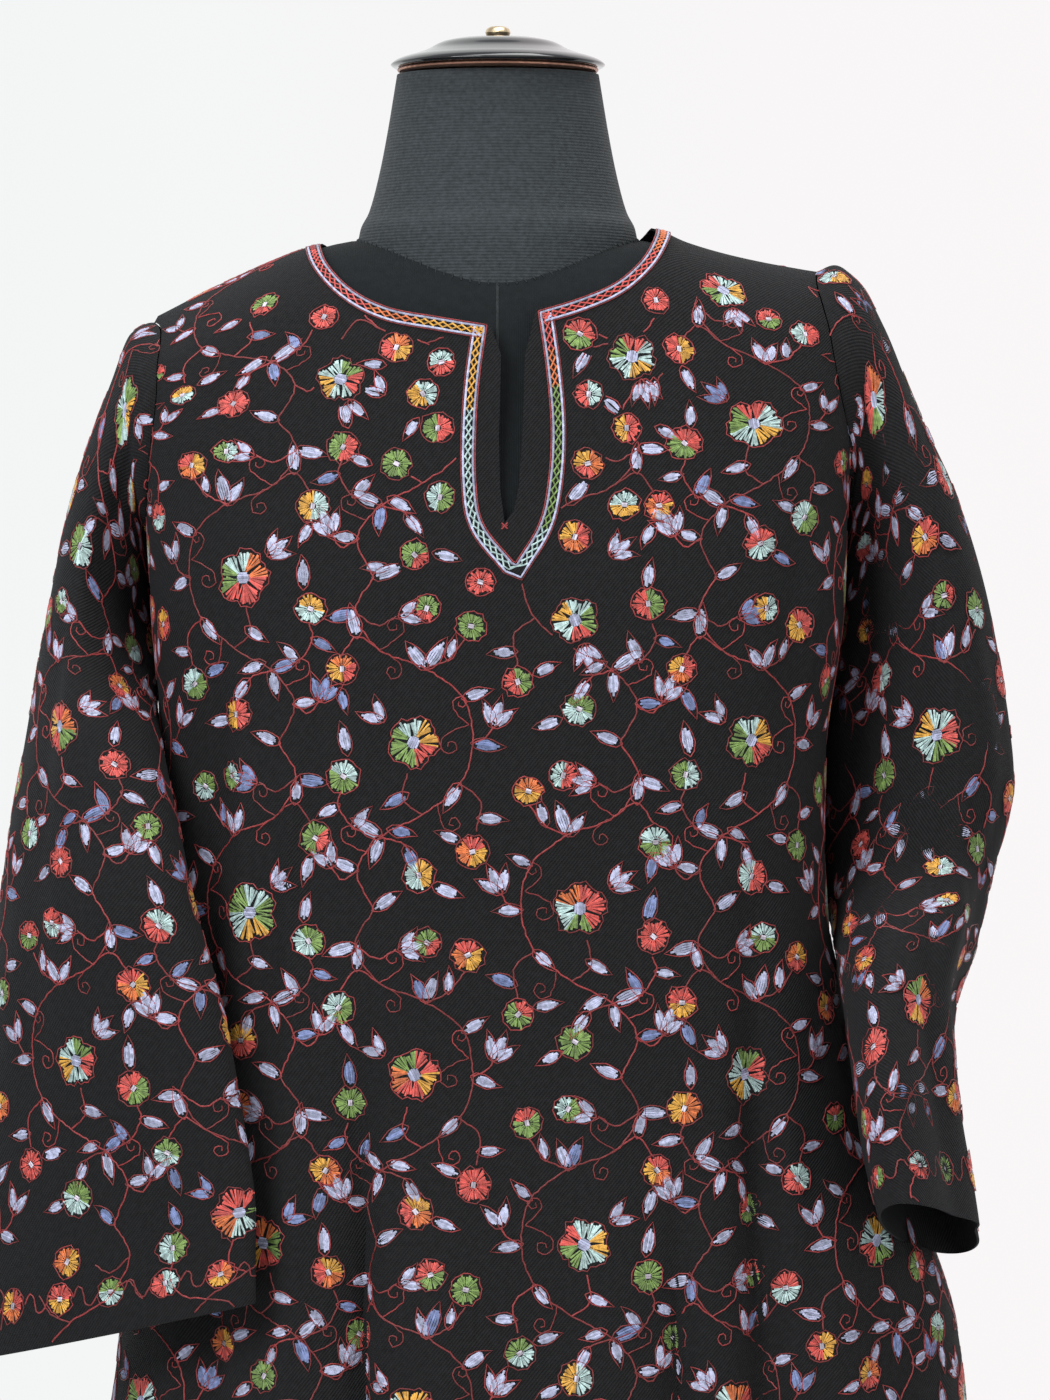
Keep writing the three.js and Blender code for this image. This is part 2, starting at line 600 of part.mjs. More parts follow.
function neckBlock() {
  const rings = NECK_ROWS.slice()
    .reverse()
    .map(({ z, radius }) =>
      Array.from({ length: NECK_SIDES }, (_, i) => {
        const angle = radians((i * 360) / NECK_SIDES - 90);
        return new THREE.Vector3(
          radius * Math.cos(angle),
          radius * NECK_DEPTH_RATIO * Math.sin(angle),
          z,
        );
      }),
    );
  return solidOverRings(rings);
}

function turned(profile, sides) {
  const points = profile.map(([radius, z]) => new THREE.Vector2(radius, z));
  const geometry = new THREE.LatheGeometry(points, sides);
  geometry.rotateX(Math.PI / 2);
  return geometry;
}

function capProfile() {
  const top = CAP.z + CAP.height;
  const rows = CAP_ROWS.slice().reverse();
  const points = rows.map(({ drop, radius }) => [radius, top - drop]);
  return [[0, CAP.z + CAP_RIM.height + SEAM], [rows[0].radius - 1, CAP.z + CAP_RIM.height + SEAM]].concat(
    points,
    [[0, top + CAP.crown]],
  );
}

// ---------------------------------------------------------------- the whole part
const materials = {
  wool: new THREE.MeshStandardMaterial({ color: 0x16171a, roughness: 0.95, metalness: 0 }),
  jersey: new THREE.MeshStandardMaterial({ color: 0x2a2f33, roughness: 0.85, metalness: 0 }),
  knit: new THREE.MeshStandardMaterial({ color: 0x333a3f, roughness: 0.9, metalness: 0 }),
  gloss: new THREE.MeshStandardMaterial({ color: 0x101114, roughness: 0.15, metalness: 0 }),
  bronze: new THREE.MeshStandardMaterial({ color: 0x9a6a52, roughness: 0.35, metalness: 1 }),
  gold: new THREE.MeshStandardMaterial({ color: 0xd8b98a, roughness: 0.35, metalness: 1 }),
  steel: new THREE.MeshStandardMaterial({ color: 0x8d9094, roughness: 0.3, metalness: 1 }),
};

const part = new THREE.Group();
function piece(name, geometry, material) {
  const bare = geometry.clone();
  bare.deleteAttribute("uv");
  bare.computeVertexNormals();
  const mesh = new THREE.Mesh(bare, material);
  mesh.name = name;
  part.add(mesh);
}

const leftSurface = sleeveSurface(LEFT_SLEEVE, LEFT_CREASES);
const rightSurface = sleeveSurface(RIGHT_SLEEVE, RIGHT_CREASES);
const leftCore = toManifold(solidOverRings(sleeveRings(leftSurface, LEFT_SLEEVE, SEAM).rings));
const rightCore = toManifold(solidOverRings(sleeveRings(rightSurface, RIGHT_SLEEVE, SEAM).rings));
const shoulderCore = toManifold(bodyCore(CORE_LOW));

const frontPanel = toManifold(panelGeometry(-1, FRONT_COLUMNS, FRONT_SKIRT_ROWS))
  .subtract(leftCore)
  .subtract(rightCore)
  .subtract(frontNeck());
const backPanel = toManifold(panelGeometry(1, BACK_COLUMNS, BACK_SKIRT_ROWS))
  .subtract(leftCore)
  .subtract(rightCore)
  .subtract(backNeck());

function sleeveWall(surface, rows) {
  const { rings, normals } = sleeveRings(surface, rows, 0);
  return toManifold(wallOverGrid(rings, normals, CLOTH, true)).subtract(shoulderCore);
}

// A cut can leave crumbs of cloth inside the garment; only the largest body is the piece.
function largest(solid) {
  return solid.decompose().sort((a, b) => b.volume() - a.volume())[0];
}

piece("front", fromManifold(largest(frontPanel)), materials.wool);
piece("back", fromManifold(largest(backPanel)), materials.wool);
piece("sleeve_left", fromManifold(largest(sleeveWall(leftSurface, LEFT_SLEEVE))), materials.wool);
piece("sleeve_right", fromManifold(largest(sleeveWall(rightSurface, RIGHT_SLEEVE))), materials.wool);

const torso = toManifold(formTorso());
piece("form_torso", fromManifold(torso), materials.jersey);
const grownTorso = torso.translate([0, 0, SEAM]);
piece("form_neck", fromManifold(largest(toManifold(neckBlock()).subtract(grownTorso))), materials.knit);

piece(
  "neck_cap_rim",
  turned(
    [
      [0, CAP.z],
      [CAP_RIM.inner, CAP.z],
      [CAP_RIM.radius, CAP.z + CAP_RIM.chamfer],
      [CAP_RIM.radius, CAP.z + CAP_RIM.height],
      [0, CAP.z + CAP_RIM.height],
    ],
    CAP.sides,
  ),
  materials.bronze,
);
piece("neck_cap", turned(capProfile(), CAP.sides), materials.gloss);
const knobZ = CAP.z + CAP.height + CAP.crown + SEAM;
piece(
  "cap_knob",
  turned(
    [
      [0, knobZ],
      [KNOB.radius * KNOB.waist, knobZ],
      [KNOB.radius, knobZ + KNOB.height * 0.5],
      [KNOB.radius * KNOB.waist, knobZ + KNOB.height],
      [0, knobZ + KNOB.height],
    ],
    KNOB.sides,
  ),
  materials.gold,
);

const formFloor = FORM_ROWS[FORM_ROWS.length - 1];
const poleTop = SHOULDER_Z - formFloor.drop - SEAM;
piece(
  "pole",
  turned(
    [
      [0, BASE.height + SEAM],
      [POLE.radius, BASE.height + SEAM],
      [POLE.radius, poleTop],
      [0, poleTop],
    ],
    POLE.sides,
  ),
  materials.steel,
);
piece(
  "base",
  turned(
    [
      [0, 0],
      [BASE.radius, 0],
      [BASE.radius, BASE.plateHeight * 0.6],
      [BASE.radius - BASE.bevel, BASE.plateHeight],
      [BASE.hub + BASE.foot, BASE.plateHeight + BASE.bevel / 2],
      [BASE.hub, BASE.height],
      [0, BASE.height],
    ],
    BASE.sides,
  ),
  materials.gloss,
);

export default part;
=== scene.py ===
"""A black wool pheran with all-over flower and vine needlework, on a limbless dress form."""
import math

import bmesh
import bpy
import numpy as np
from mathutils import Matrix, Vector
from mathutils.bvhtree import BVHTree


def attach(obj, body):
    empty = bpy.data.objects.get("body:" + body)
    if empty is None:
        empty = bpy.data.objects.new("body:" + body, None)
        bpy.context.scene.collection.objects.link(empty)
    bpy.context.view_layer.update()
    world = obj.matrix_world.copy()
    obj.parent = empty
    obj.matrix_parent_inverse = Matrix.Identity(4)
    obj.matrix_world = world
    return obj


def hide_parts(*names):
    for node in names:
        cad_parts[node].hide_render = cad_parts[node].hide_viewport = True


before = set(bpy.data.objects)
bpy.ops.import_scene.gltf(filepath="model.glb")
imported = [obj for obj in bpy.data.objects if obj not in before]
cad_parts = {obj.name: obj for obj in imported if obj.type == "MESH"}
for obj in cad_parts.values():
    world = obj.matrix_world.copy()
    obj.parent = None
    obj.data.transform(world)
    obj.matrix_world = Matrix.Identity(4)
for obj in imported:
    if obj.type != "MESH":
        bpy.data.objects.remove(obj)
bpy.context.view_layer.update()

# ------------------------------------------------------------------ sizes, in millimetres
MM = 0.001
CLOTH = 1.3  # thickness of the wool
SEAM = 0.3  # gap between two pieces that are sewn together
SHOULDER_Z = 1404.0
SIDE_LEVEL = 150.0
HEM_DROP = 1000.0


def rows(names, *values):
    """A short table: one array for each named column."""
    columns = np.array(values, dtype=float).T
    return dict(zip(names.split(), columns))


SHOULDER_LINE = rows(
    "x z",
    (-215, 1341), (-186, 1356), (-142, 1378), (-98, 1395), (-50, 1402), (0, 1405), (50, 1406),
    (84, 1404), (104, 1396), (124, 1390), (146, 1385), (168, 1381), (186, 1378), (215, 1370),
)
BODY_ROWS = rows(
    "drop left right front back square",
    (0, 187, 184, 0, 0, 2.6),
    (3, 189, 187, 28, 28, 2.8),
    (10, 191, 190, 49, 49, 3.2),
    (22, 193, 192, 66, 66, 3.8),
    (40, 194, 193, 80, 80, 4.2),
    (65, 194, 194, 89, 88, 4.3),
    (100, 194, 194, 97, 93, 4.2),
    (150, 192, 192, 105, 97, 3.8),
    (205, 190, 190, 112, 100, 3.3),
    (284, 185, 180, 116, 101, 3.0),
    (330, 185, 179, 117, 102, 3.0),
    (375, 186, 181, 118, 104, 3.0),
    (420, 188, 189, 121, 107, 2.9),
    (470, 190, 203, 124, 110, 2.8),
    (520, 194, 219, 128, 114, 2.7),
    (562, 200, 240, 132, 118, 2.6),
    (604, 206, 252, 136, 122, 2.5),
    (645, 209, 257, 140, 126, 2.5),
    (750, 224, 267, 150, 136, 2.4),
    (870, 245, 276, 161, 148, 2.4),
    (1000, 268, 286, 173, 161, 2.4),
)
# Long folds that reach the hem: side is -1 at the front and 1 at the back.
BODY_FOLDS = rows(
    "side topX topDrop endX endDrop depth width",
    (-1, -160, 170, -152, 1000, -9, 15),
    (-1, -110, 270, -112, 1000, 5, 15),
    (-1, -72, 380, -80, 1000, -12, 16),
    (-1, -30, 480, -26, 1000, 7, 28),
    (-1, 60, 420, 62, 1000, 5, 24),
    (-1, 96, 470, 100, 1000, -8, 14),
    (-1, 136, 300, 152, 1000, -12, 16),
    (-1, 178, 460, 196, 1000, 8, 20),
    (-1, -205, 560, -210, 1000, 9, 22),
    (1, -150, 300, -170, 1000, -10, 18),
    (1, -95, 360, -104, 1000, 9, 26),
    (1, -40, 300, -46, 1000, -9, 20),
    (1, 28, 380, 30, 1000, 9, 26),
    (1, 86, 320, 96, 1000, -11, 19),
    (1, 150, 340, 168, 1000, 8, 26),
)
# Short creases that fade out at both ends.
BODY_CREASES = rows(
    "side topX topDrop endX endDrop depth width",
    (-1, -150, 175, -146, 430, -3.0, 9),
    (-1, -137, 200, -141, 470, 2.2, 8),
    (-1, -112, 270, -110, 430, 3.0, 5),
    (-1, -98, 260, -104, 400, -1.6, 8),
    (-1, -76, 400, -72, 900, -4.2, 6),
    (-1, -62, 430, -66, 900, 3.0, 7),
    (-1, 142, 400, 152, 900, -4.4, 7),
    (-1, 157, 420, 168, 900, 3.2, 8),
    (-1, 97, 470, 101, 880, -3.6, 6),
    (-1, 166, 120, 150, 330, -2.4, 12),
    (-1, 178, 150, 168, 300, 1.8, 7),
    (-1, 150, 60, 120, 190, -1.4, 12),
    (-1, -160, 60, -120, 180, -1.6, 12),
    (-1, -34, 150, -62, 330, -1.1, 14),
    (-1, 44, 170, 66, 380, -1.1, 14),
    (-1, 216, 600, 224, 820, -3.0, 9),
    (1, -150, 120, -110, 340, -2.2, 14),
    (1, 150, 120, 116, 360, -2.2, 14),
    (1, -60, 60, -40, 300, 1.6, 16),
    (1, 66, 90, 52, 310, -1.6, 14),
    (1, -120, 420, -128, 760, 2.6, 8),
    (1, 128, 460, 140, 800, -2.8, 8),
    (1, 10, 430, 6, 760, -2.4, 9),
)
SLEEVE_COLUMNS = "outX outZ outY inX inZ inY depth lift"
LEFT_SLEEVE = rows(
    SLEEVE_COLUMNS,
    (-150, 1347, 0, -150, 1252, 0, 55, 0),
    (-176, 1352, 0, -177, 1241, 0, 61, 0),
    (-190, 1352, 0, -190, 1236, 4, 64, 0),
    (-201, 1346, 0, -194.5, 1230, 16, 65, 1),
    (-213, 1317, -1, -191.5, 1217, 36, 65, 2),
    (-228, 1275, -3, -189.6, 1201, 48, 65, 4),
    (-240, 1230, -6, -188.2, 1180, 50, 64, 5),
    (-249, 1180, -10, -187.3, 1150, 2, 62, 5),
    (-257, 1130, -18, -181.3, 1120, -60, 58, 5),
    (-265, 1083, -28, -171.4, 1080, -88, 54, 5),
    (-271, 1034, -40, -160.6, 1031, -108, 48, 4),
    (-276, 975, -46, -145.2, 977, -122, 39, 3),
    (-279, 912, -50, -134, 918, -130, 30, 2),
    (-281, 848, -53, -128, 868, -134, 23, 1),
    (-282, 787, -55, -128, 824, -136, 19, 0),
)
RIGHT_SLEEVE = rows(
    SLEEVE_COLUMNS,
    (150, 1362, 0, 150, 1272, 0, 55, 0),
    (170, 1376, 0, 174, 1262, 0, 61, 0),
    (185, 1383, 0, 190, 1258, 4, 64, 0),
    (198, 1374, 0, 194.8, 1251, 16, 65, 1),
    (212, 1349, 0, 191.8, 1239, 30, 66, 3),
    (230, 1305, -1, 190.6, 1224, 42, 67, 6),
    (252, 1255, -3, 188.6, 1202, 50, 68, 9),
    (270, 1192, -8, 185.8, 1164, 52, 68, 12),
    (280, 1133, -12, 177, 1117, 50, 66, 15),
    (283, 1098, -15, 176.8, 1080, 46, 64, 17),
    (272, 1052, -20, 178.6, 1040, 38, 61, 18),
    (267, 1031, -23, 183, 1021, -2, 60, 18),
    (262, 1010, -26, 184.1, 1000, -62, 60, 18),
    (249, 968, -38, 188, 958, -112, 62, 18),
    (252, 914, -48, 194, 908, -140, 64, 18),
    (261, 850, -58, 202, 872, -152, 66, 16),
)
CREASE_COLUMNS = "fromAlong fromRound toAlong toRound depth width"
LEFT_CREASES = rows(
    CREASE_COLUMNS,
    (0.26, 62, 0.6, 74, 3.5, 15),
    (0.34, 128, 0.94, 118, -3, 18),
    (0.2, 150, 0.5, 158, 1.5, 13),
    (0.2, 96, 0.42, 84, -1.8, 9),
    (0.45, 60, 0.8, 52, -1.6, 10),
    (0.62, 92, 0.96, 98, 1.4, 9),
    (0.3, 230, 0.8, 250, -2.4, 16),
)
RIGHT_CREASES = rows(
    CREASE_COLUMNS,
    (0.24, 88, 0.97, 48, 6, 13),
    (0.26, 122, 0.62, 130, -4, 17),
    (0.4, 30, 0.9, 18, -3, 14),
    (0.24, 138, 0.7, 140, 2.5, 14),
    (0.22, 100, 0.5, 96, -1.6, 7),
    (0.58, 76, 0.95, 70, -2.2, 9),
    (0.62, 120, 0.9, 112, 1.8, 9),
    (0.3, 250, 0.85, 230, -2.6, 16),
)
NECK_LEFT = ((-98, 1396), (-92, 1381), (-78, 1366), (-58, 1356), (-32, 1351), (-4, 1347))
NECK_RIGHT = ((21, 1355), (44, 1361), (64, 1370), (78, 1383), (85, 1396), (87, 1406))
SLIT = (
    (2, 1330), (1, 1285), (1.5, 1258), (4, 1239), (9, 1246), (11.5, 1258), (13.5, 1285), (15, 1330),
)
BACK_NECK_Z = 1369.0

FORM_SHOULDER_LINE = rows(
    "x z",
    (-200, 1343), (-182, 1354.2), (-142, 1375.8), (-98, 1392.7), (-76, 1397), (0, 1399),
    (76, 1397), (98, 1392.7), (142, 1375.8), (182, 1358), (200, 1350),
)
FORM_ROWS = rows(
    "drop left right front back square",
    (0, 168, 168, 0, 0, 2.6),
    (3, 170, 170, 25, 21, 2.7),
    (10, 171, 171, 46, 41, 2.8),
    (24, 171, 171, 63, 60, 2.9),
    (45, 170, 170, 75, 77, 2.9),
    (80, 166, 166, 83, 85, 2.8),
    (140, 156, 156, 96, 88, 2.6),
    (195, 150, 150, 106, 87, 2.4),
    (260, 140, 140, 96, 80, 2.3),
    (360, 122, 122, 84, 76, 2.2),
    (450, 142, 142, 92, 88, 2.2),
    (550, 164, 164, 98, 104, 2.2),
    (660, 166, 166, 98, 104, 2.2),
    (690, 160, 160, 92, 98, 2.2),
)
NECK_ROWS = rows(
    "z radius",
    (1366, 78), (1394, 77), (1403, 75.5), (1412, 71), (1430, 66), (1452, 61.5), (1488, 55.5),
)
NECK_DEPTH_RATIO = 0.86
SEAM_PITCH = 5.0  # between the hand stitches at the form's neck
SEAM_STITCH = 3.4  # length of one of them


# ------------------------------------------------------------------ small maths
def smooth(t):
    s = np.clip(t, 0, 1)
    return s * s * (3 - 2 * s)


class Track:
    """A smooth curve through a table's column, without overshoot."""

    def __init__(self, at, values):
        self.at = np.asarray(at, float)
        self.values = np.asarray(values, float)
        slopes = np.diff(self.values) / np.diff(self.at)
        before = np.concatenate([slopes[:1], slopes])
        after = np.concatenate([slopes, slopes[-1:]])
        total = np.where(before + after == 0, 1, before + after)
        self.tangents = np.where(before * after <= 0, 0, 2 * before * after / total)

    def __call__(self, x):
        x = np.asarray(x, float)
        i = np.clip(np.searchsorted(self.at, x) - 1, 0, len(self.at) - 2)
        h = self.at[i + 1] - self.at[i]
        t = np.clip((x - self.at[i]) / h, 0, 1)
        line = (1 + 2 * t) * (1 - t) ** 2 * self.values[i] + t * t * (3 - 2 * t) * self.values[i + 1]
        return line + h * t * (1 - t) * ((1 - t) * self.tangents[i] - t * self.tangents[i + 1])


def table_tracks(table, key):
    return {name: Track(table[key], column) for name, column in table.items() if name != key}


def unit(vectors):
    length = np.linalg.norm(vectors, axis=-1, keepdims=True)
    return vectors / np.where(length < 1e-12, 1, length)


def resample(points, step):
    """A polyline with points about step apart."""
    points = np.asarray(points, float)
    lengths = np.concatenate([[0], np.cumsum(np.linalg.norm(np.diff(points, axis=0), axis=1))])
    count = max(2, int(round(lengths[-1] / step)) + 1)
    at = np.linspace(0, lengths[-1], count)
    return np.stack([np.interp(at, lengths, points[:, k]) for k in range(points.shape[1])], axis=1)


def curve_through(points, steps=12):
    """A Catmull-Rom curve through control points."""
    points = np.asarray(points, float)
    padded = np.concatenate([[2 * points[0] - points[1]], points, [2 * points[-1] - points[-2]]])
    out = []
    for i in range(1, len(padded) - 2):
        a, b, c, d = padded[i - 1 : i + 3]
        t = np.linspace(0, 1, steps, endpoint=False)[:, None]
        out.append(
            0.5
            * (2 * b + (c - a) * t + (2 * a - 5 * b + 4 * c - d) * t**2 + (3 * b - a - 3 * c + d) * t**3)
        )
    out.append(points[-1:])
    return np.concatenate(out)


# ------------------------------------------------------------------ surfaces
def fold_sum(table, side, x, drop, fades):
    total = np.zeros(np.broadcast(x, drop).shape)
    for k in range(len(table["depth"])):
        along = (drop - table["topDrop"][k]) / (table["endDrop"][k] - table["topDrop"][k])
        centre = table["topX"][k] + (table["endX"][k] - table["topX"][k]) * along
        width = table["width"][k] * (0.6 + 0.4 * np.clip(along, 0, 1))
        across = (x - centre) / width
        fade = smooth(along * 3) * (along > 0)
        if fades:
            fade = smooth(along * 2.5) * smooth((1 - along) * 2.5)
        total += np.where(side == table["side"][k], table["depth"][k] * fade * np.exp(-across**2), 0)
    return total


class TorsoSurface:
    """turn is the angle round the body (0 = centre front), drop the fall from the shoulder."""

    def __init__(self, table, shoulder_line, folded):
        self.ring = table_tracks(table, "drop")
        self.shoulder = Track(shoulder_line["x"], shoulder_line["z"])
        self.folded = folded

    def __call__(self, turn, drop):
        turn, drop = np.broadcast_arrays(np.asarray(turn, float), np.asarray(drop, float))
        sine = np.sin(np.radians(turn))
        cosine = np.cos(np.radians(turn))
        half = np.where(sine < 0, self.ring["left"](drop), self.ring["right"](drop))
        deep = np.where(cosine > 0, self.ring["front"](drop), self.ring["back"](drop))
        power = self.ring["square"](drop)
        scale = (np.abs(sine) ** power + np.abs(cosine) ** power) ** (-1 / power)
        x = half * sine * scale
        y = -deep * cosine * scale
        z = self.shoulder(x) + (SHOULDER_Z - self.shoulder(x)) * smooth(drop / SIDE_LEVEL) - drop
        if self.folded:
            side = np.where(cosine > 0, -1, 1)
            out = fold_sum(BODY_FOLDS, side, x, drop, False)
            out = out + fold_sum(BODY_CREASES, side, x, drop, True)
            out = out + soft_waves(x, drop) * smooth(drop / 120)
            away_x = x / half**2
            away_y = np.where(deep > 0, y / np.maximum(deep, 1) ** 2, 0)
            length = np.hypot(away_x, away_y)
            length = np.where(length == 0, 1, length)
            out = out * np.minimum(1, np.abs(cosine) * 4)
            x = x + out * away_x / length
            y = y + out * away_y / length
        return np.stack([x, y, z], axis=-1)


def soft_waves(a, b):
    """Slight unevenness of hanging wool, in mm."""
    wave = np.sin(a / 23 + 1.3 * np.sin(b / 61)) * np.sin(b / 37 + 0.7)
    fine = np.sin(a / 11 + b / 29 + 2 * np.sin(b / 47)) * np.sin(b / 19 + a / 41)
    return 0.55 * wave + 0.28 * fine


class SleeveSurface:
    """round is the angle from the sleeve's outer edge over its front; along is 0 to 1."""

    def __init__(self, table, creases):
        self.count = len(table["outX"]) - 1
        numbered = dict(table, row=np.arange(self.count + 1, dtype=float))
        self.ring = table_tracks(numbered, "row")
        self.creases = creases

    def centre(self, along):
        row = np.asarray(along, float) * self.count
        ring = self.ring
        outer = np.stack([ring["outX"](row), ring["outY"](row), ring["outZ"](row)], axis=-1)
        inner = np.stack([ring["inX"](row), ring["inY"](row), ring["inZ"](row)], axis=-1)
        return (outer + inner) / 2, (outer - inner) / 2

    def __call__(self, turn, along):
        turn, along = np.broadcast_arrays(np.asarray(turn, float), np.asarray(along, float))
        centre, across = self.centre(along)
        row = along * self.count
        zero = np.zeros_like(row)
        deep = np.stack([zero, -self.ring["depth"](row), self.ring["lift"](row)], axis=-1)
        cosine = np.cos(np.radians(turn))[..., None]
        sine = np.sin(np.radians(turn))[..., None]
        point = centre + across * cosine + deep * sine
        away = across * cosine / np.sum(across**2, -1, keepdims=True)
        away = unit(away + deep * sine / np.sum(deep**2, -1, keepdims=True))
        return point + away * self.crease(turn, along)[..., None]

    def crease(self, turn, along):
        table = self.creases
        total = 0.45 * np.sin(turn / 17 + along * 9) * np.sin(along * 31 + 0.4)
        for k in range(len(table["depth"])):
            place = (along - table["fromAlong"][k]) / (table["toAlong"][k] - table["fromAlong"][k])
            sweep = table["toRound"][k] - table["fromRound"][k]
            centre = table["fromRound"][k] + sweep * np.clip(place, 0, 1)
            across = ((turn - centre + 540) % 360 - 180) / table["width"][k]
            fade = smooth(place * 4) * smooth((1.25 - place) * 4)
            total = total + table["depth"][k] * fade * np.exp(-(across**2))
        return total


def normals_of(surface, u, v, step_u, step_v, low_v, high_v):
    du = surface(u + step_u, v) - surface(u - step_u, v)
    dv = surface(u, np.minimum(high_v, v + step_v)) - surface(u, np.maximum(low_v, v - step_v))
    return unit(np.cross(dv, du))


body_surface = TorsoSurface(BODY_ROWS, SHOULDER_LINE, True)
form_surface = TorsoSurface(FORM_ROWS, FORM_SHOULDER_LINE, False)
left_surface = SleeveSurface(LEFT_SLEEVE, LEFT_CREASES)
right_surface = SleeveSurface(RIGHT_SLEEVE, RIGHT_CREASES)


def body_normals(turn, drop):
    turn, drop = np.broadcast_arrays(np.asarray(turn, float), np.asarray(drop, float))
    normal = normals_of(body_surface, turn, np.maximum(drop, 0.5), 0.3, 0.4, 0, HEM_DROP)
    return np.where((drop < 0.01)[..., None], np.array([0.0, 0.0, 1.0]), normal)


def sleeve_normals(surface, turn, along):
    normal = normals_of(surface, turn, along, 0.5, 0.004, 0, 1)
    outward = np.sum(normal * (surface(turn, along) - surface.centre(along)[0]), -1, keepdims=True)
    return np.where(outward < 0, -normal, normal)


# ------------------------------------------------------------------ flat cloth coordinates
class ClothMap:
    """Lays flat coordinates, s across and l down in mm, on a curved panel."""

    STEP = 2.0

    def __init__(self, surface, normals, us, vs, zero_u):
        self.surface, self.normals, self.vs = surface, normals, vs
        points = surface(us[None, :], vs[:, None])
        gaps = np.linalg.norm(np.diff(points, axis=1), axis=2)
        s = np.concatenate([np.zeros((len(vs), 1)), np.cumsum(gaps, axis=1)], axis=1)
        zero = int(np.argmin(np.abs(us - zero_u)))
        self.s = s - s[:, zero : zero + 1]
        falls = np.linalg.norm(np.diff(points[:, zero], axis=0), axis=1)
        self.l = np.concatenate([[0], np.cumsum(falls)])
        self.low = self.s[:, 0]
        self.high = self.s[:, -1]
        self.first = self.low.min()
        self.grid = np.arange(self.first, self.high.max() + self.STEP, self.STEP)
        self.u_table = np.array([np.interp(self.grid, line, us) for line in self.s])

    def locate(self, s, l):
        row = np.interp(l, self.l, np.arange(len(self.l)))
        j = np.clip(row.astype(int), 0, len(self.l) - 2)
        column = np.clip((s - self.first) / self.STEP, 0, len(self.grid) - 1.001)
        i = column.astype(int)
        fj, fi = row - j, column - i
        upper = self.u_table[j, i] * (1 - fi) + self.u_table[j, i + 1] * fi
        lower = self.u_table[j + 1, i] * (1 - fi) + self.u_table[j + 1, i + 1] * fi
        return upper * (1 - fj) + lower * fj, np.interp(l, self.l, self.vs)

    def inside(self, s, l, margin):
        low = np.interp(l, self.l, self.low) + margin
        high = np.interp(l, self.l, self.high) - margin
        return (s > low) & (s < high) & (l > self.l[0] + margin) & (l < self.l[-1] - margin)

    def place(self, s, l):
        u, v = self.locate(s, l)
        return self.surface(u, v), self.normals(u, v)


def drop_levels(count):
    """Rows of a panel: close over the shoulder, even down the skirt."""
    shoulder = np.array(
        [0, 0.7, 1.6, 3, 5, 7.5, 10.5, 14, 18, 22.5, 27.5, 33, 39, 46, 54, 63, 73, 84, 96]
    )
    return np.concatenate([shoulder, np.linspace(96, HEM_DROP, count + 1)[1:]])


HALF_TURN = np.linspace(-90, 90, 241)
FULL_TURN = np.linspace(-180, 180, 241)
front_map = ClothMap(body_surface, body_normals, HALF_TURN, drop_levels(150), 0)
back_map = ClothMap(
    lambda u, v: body_surface(180 - u, v), lambda u, v: body_normals(180 - u, v), HALF_TURN,
    drop_levels(150), 0,
)


def sleeve_map(surface):
    normals = lambda u, v: sleeve_normals(surface, u, v)
    return ClothMap(surface, normals, FULL_TURN, np.linspace(0, 1, 141), 90)


left_map = sleeve_map(left_surface)
right_map = sleeve_map(right_surface)


def spread(u, v):
    """Both coordinates of a grid, each as large as the grid."""
    return np.broadcast_arrays(u, v[:, None])


def flat_across(used, turns, at, levels):
    """Flat coordinate across the cloth, for a row of places at each level."""
    rows_of_s = []
    for level in levels:
        line = [np.interp(level, used.vs, used.s[:, k]) for k in range(len(turns))]
        rows_of_s.append(np.interp(at, turns, line))
    return np.array(rows_of_s)


def ellipses(wide, deep, angle, z):
    """Rings of points, one at each height."""
    return np.stack(np.broadcast_arrays(wide * np.cos(angle), deep * np.sin(angle), z), -1)


# ------------------------------------------------------------------ meshes
def new_object(name, mesh):
    obj = bpy.data.objects.new(name, mesh)
    bpy.context.scene.collection.objects.link(obj)
    return obj


def mesh_from(name, points, faces, smooth_faces=True):
    mesh = bpy.data.meshes.new(name)
    mesh.from_pydata((np.asarray(points) * MM).tolist(), [], faces)
    mesh.validate()
    if smooth_faces:
        mesh.polygons.foreach_set("use_smooth", [True] * len(mesh.polygons))
    return mesh


def grid_faces(count_v, count_u, start, closed, flip):
    spans = count_u if closed else count_u - 1
    i = np.arange(spans)
    j = np.arange(count_v - 1)
    i, j = np.meshgrid(i, j)
    following = (i + 1) % count_u
    near, far = j * count_u, (j + 1) * count_u
    quads = np.stack([near + i, far + i, far + following, near + following], -1).reshape(-1, 4) + start
    return quads[:, ::-1] if flip else quads


def shell(name, outer, normals, thickness, closed, uv):
    """A thin closed wall over a grid of outer points, with flat coordinates as its UV."""
    count_v, count_u = outer.shape[:2]
    size = count_v * count_u
    inner = outer - normals * thickness
    points = np.concatenate([outer.reshape(-1, 3), inner.reshape(-1, 3)])
    faces = [grid_faces(count_v, count_u, start, closed, start > 0) for start in (0, size)]
    index = np.arange(size).reshape(count_v, count_u)
    borders = [(index[0], False), (index[-1], True)]
    if not closed:
        borders += [(index[:, 0], True), (index[:, -1], False)]
    for line, flip in borders:
        following = np.roll(line, -1) if closed else line[1:]
        line = line if closed else line[:-1]
        quads = np.stack([line, following, following + size, line + size], -1)
        faces.append(quads[:, ::-1] if flip else quads)
    faces = np.concatenate(faces)
    mesh = mesh_from(name, points, faces.tolist())
    layer = mesh.uv_layers.new(name="flat")
    flat = np.concatenate([uv.reshape(-1, 2), uv.reshape(-1, 2)]) * MM
    loops = np.empty(len(mesh.loops), dtype=np.int32)
    mesh.loops.foreach_get("vertex_index", loops)
    layer.data.foreach_set("uv", flat[loops].ravel())
    return new_object(name, mesh)


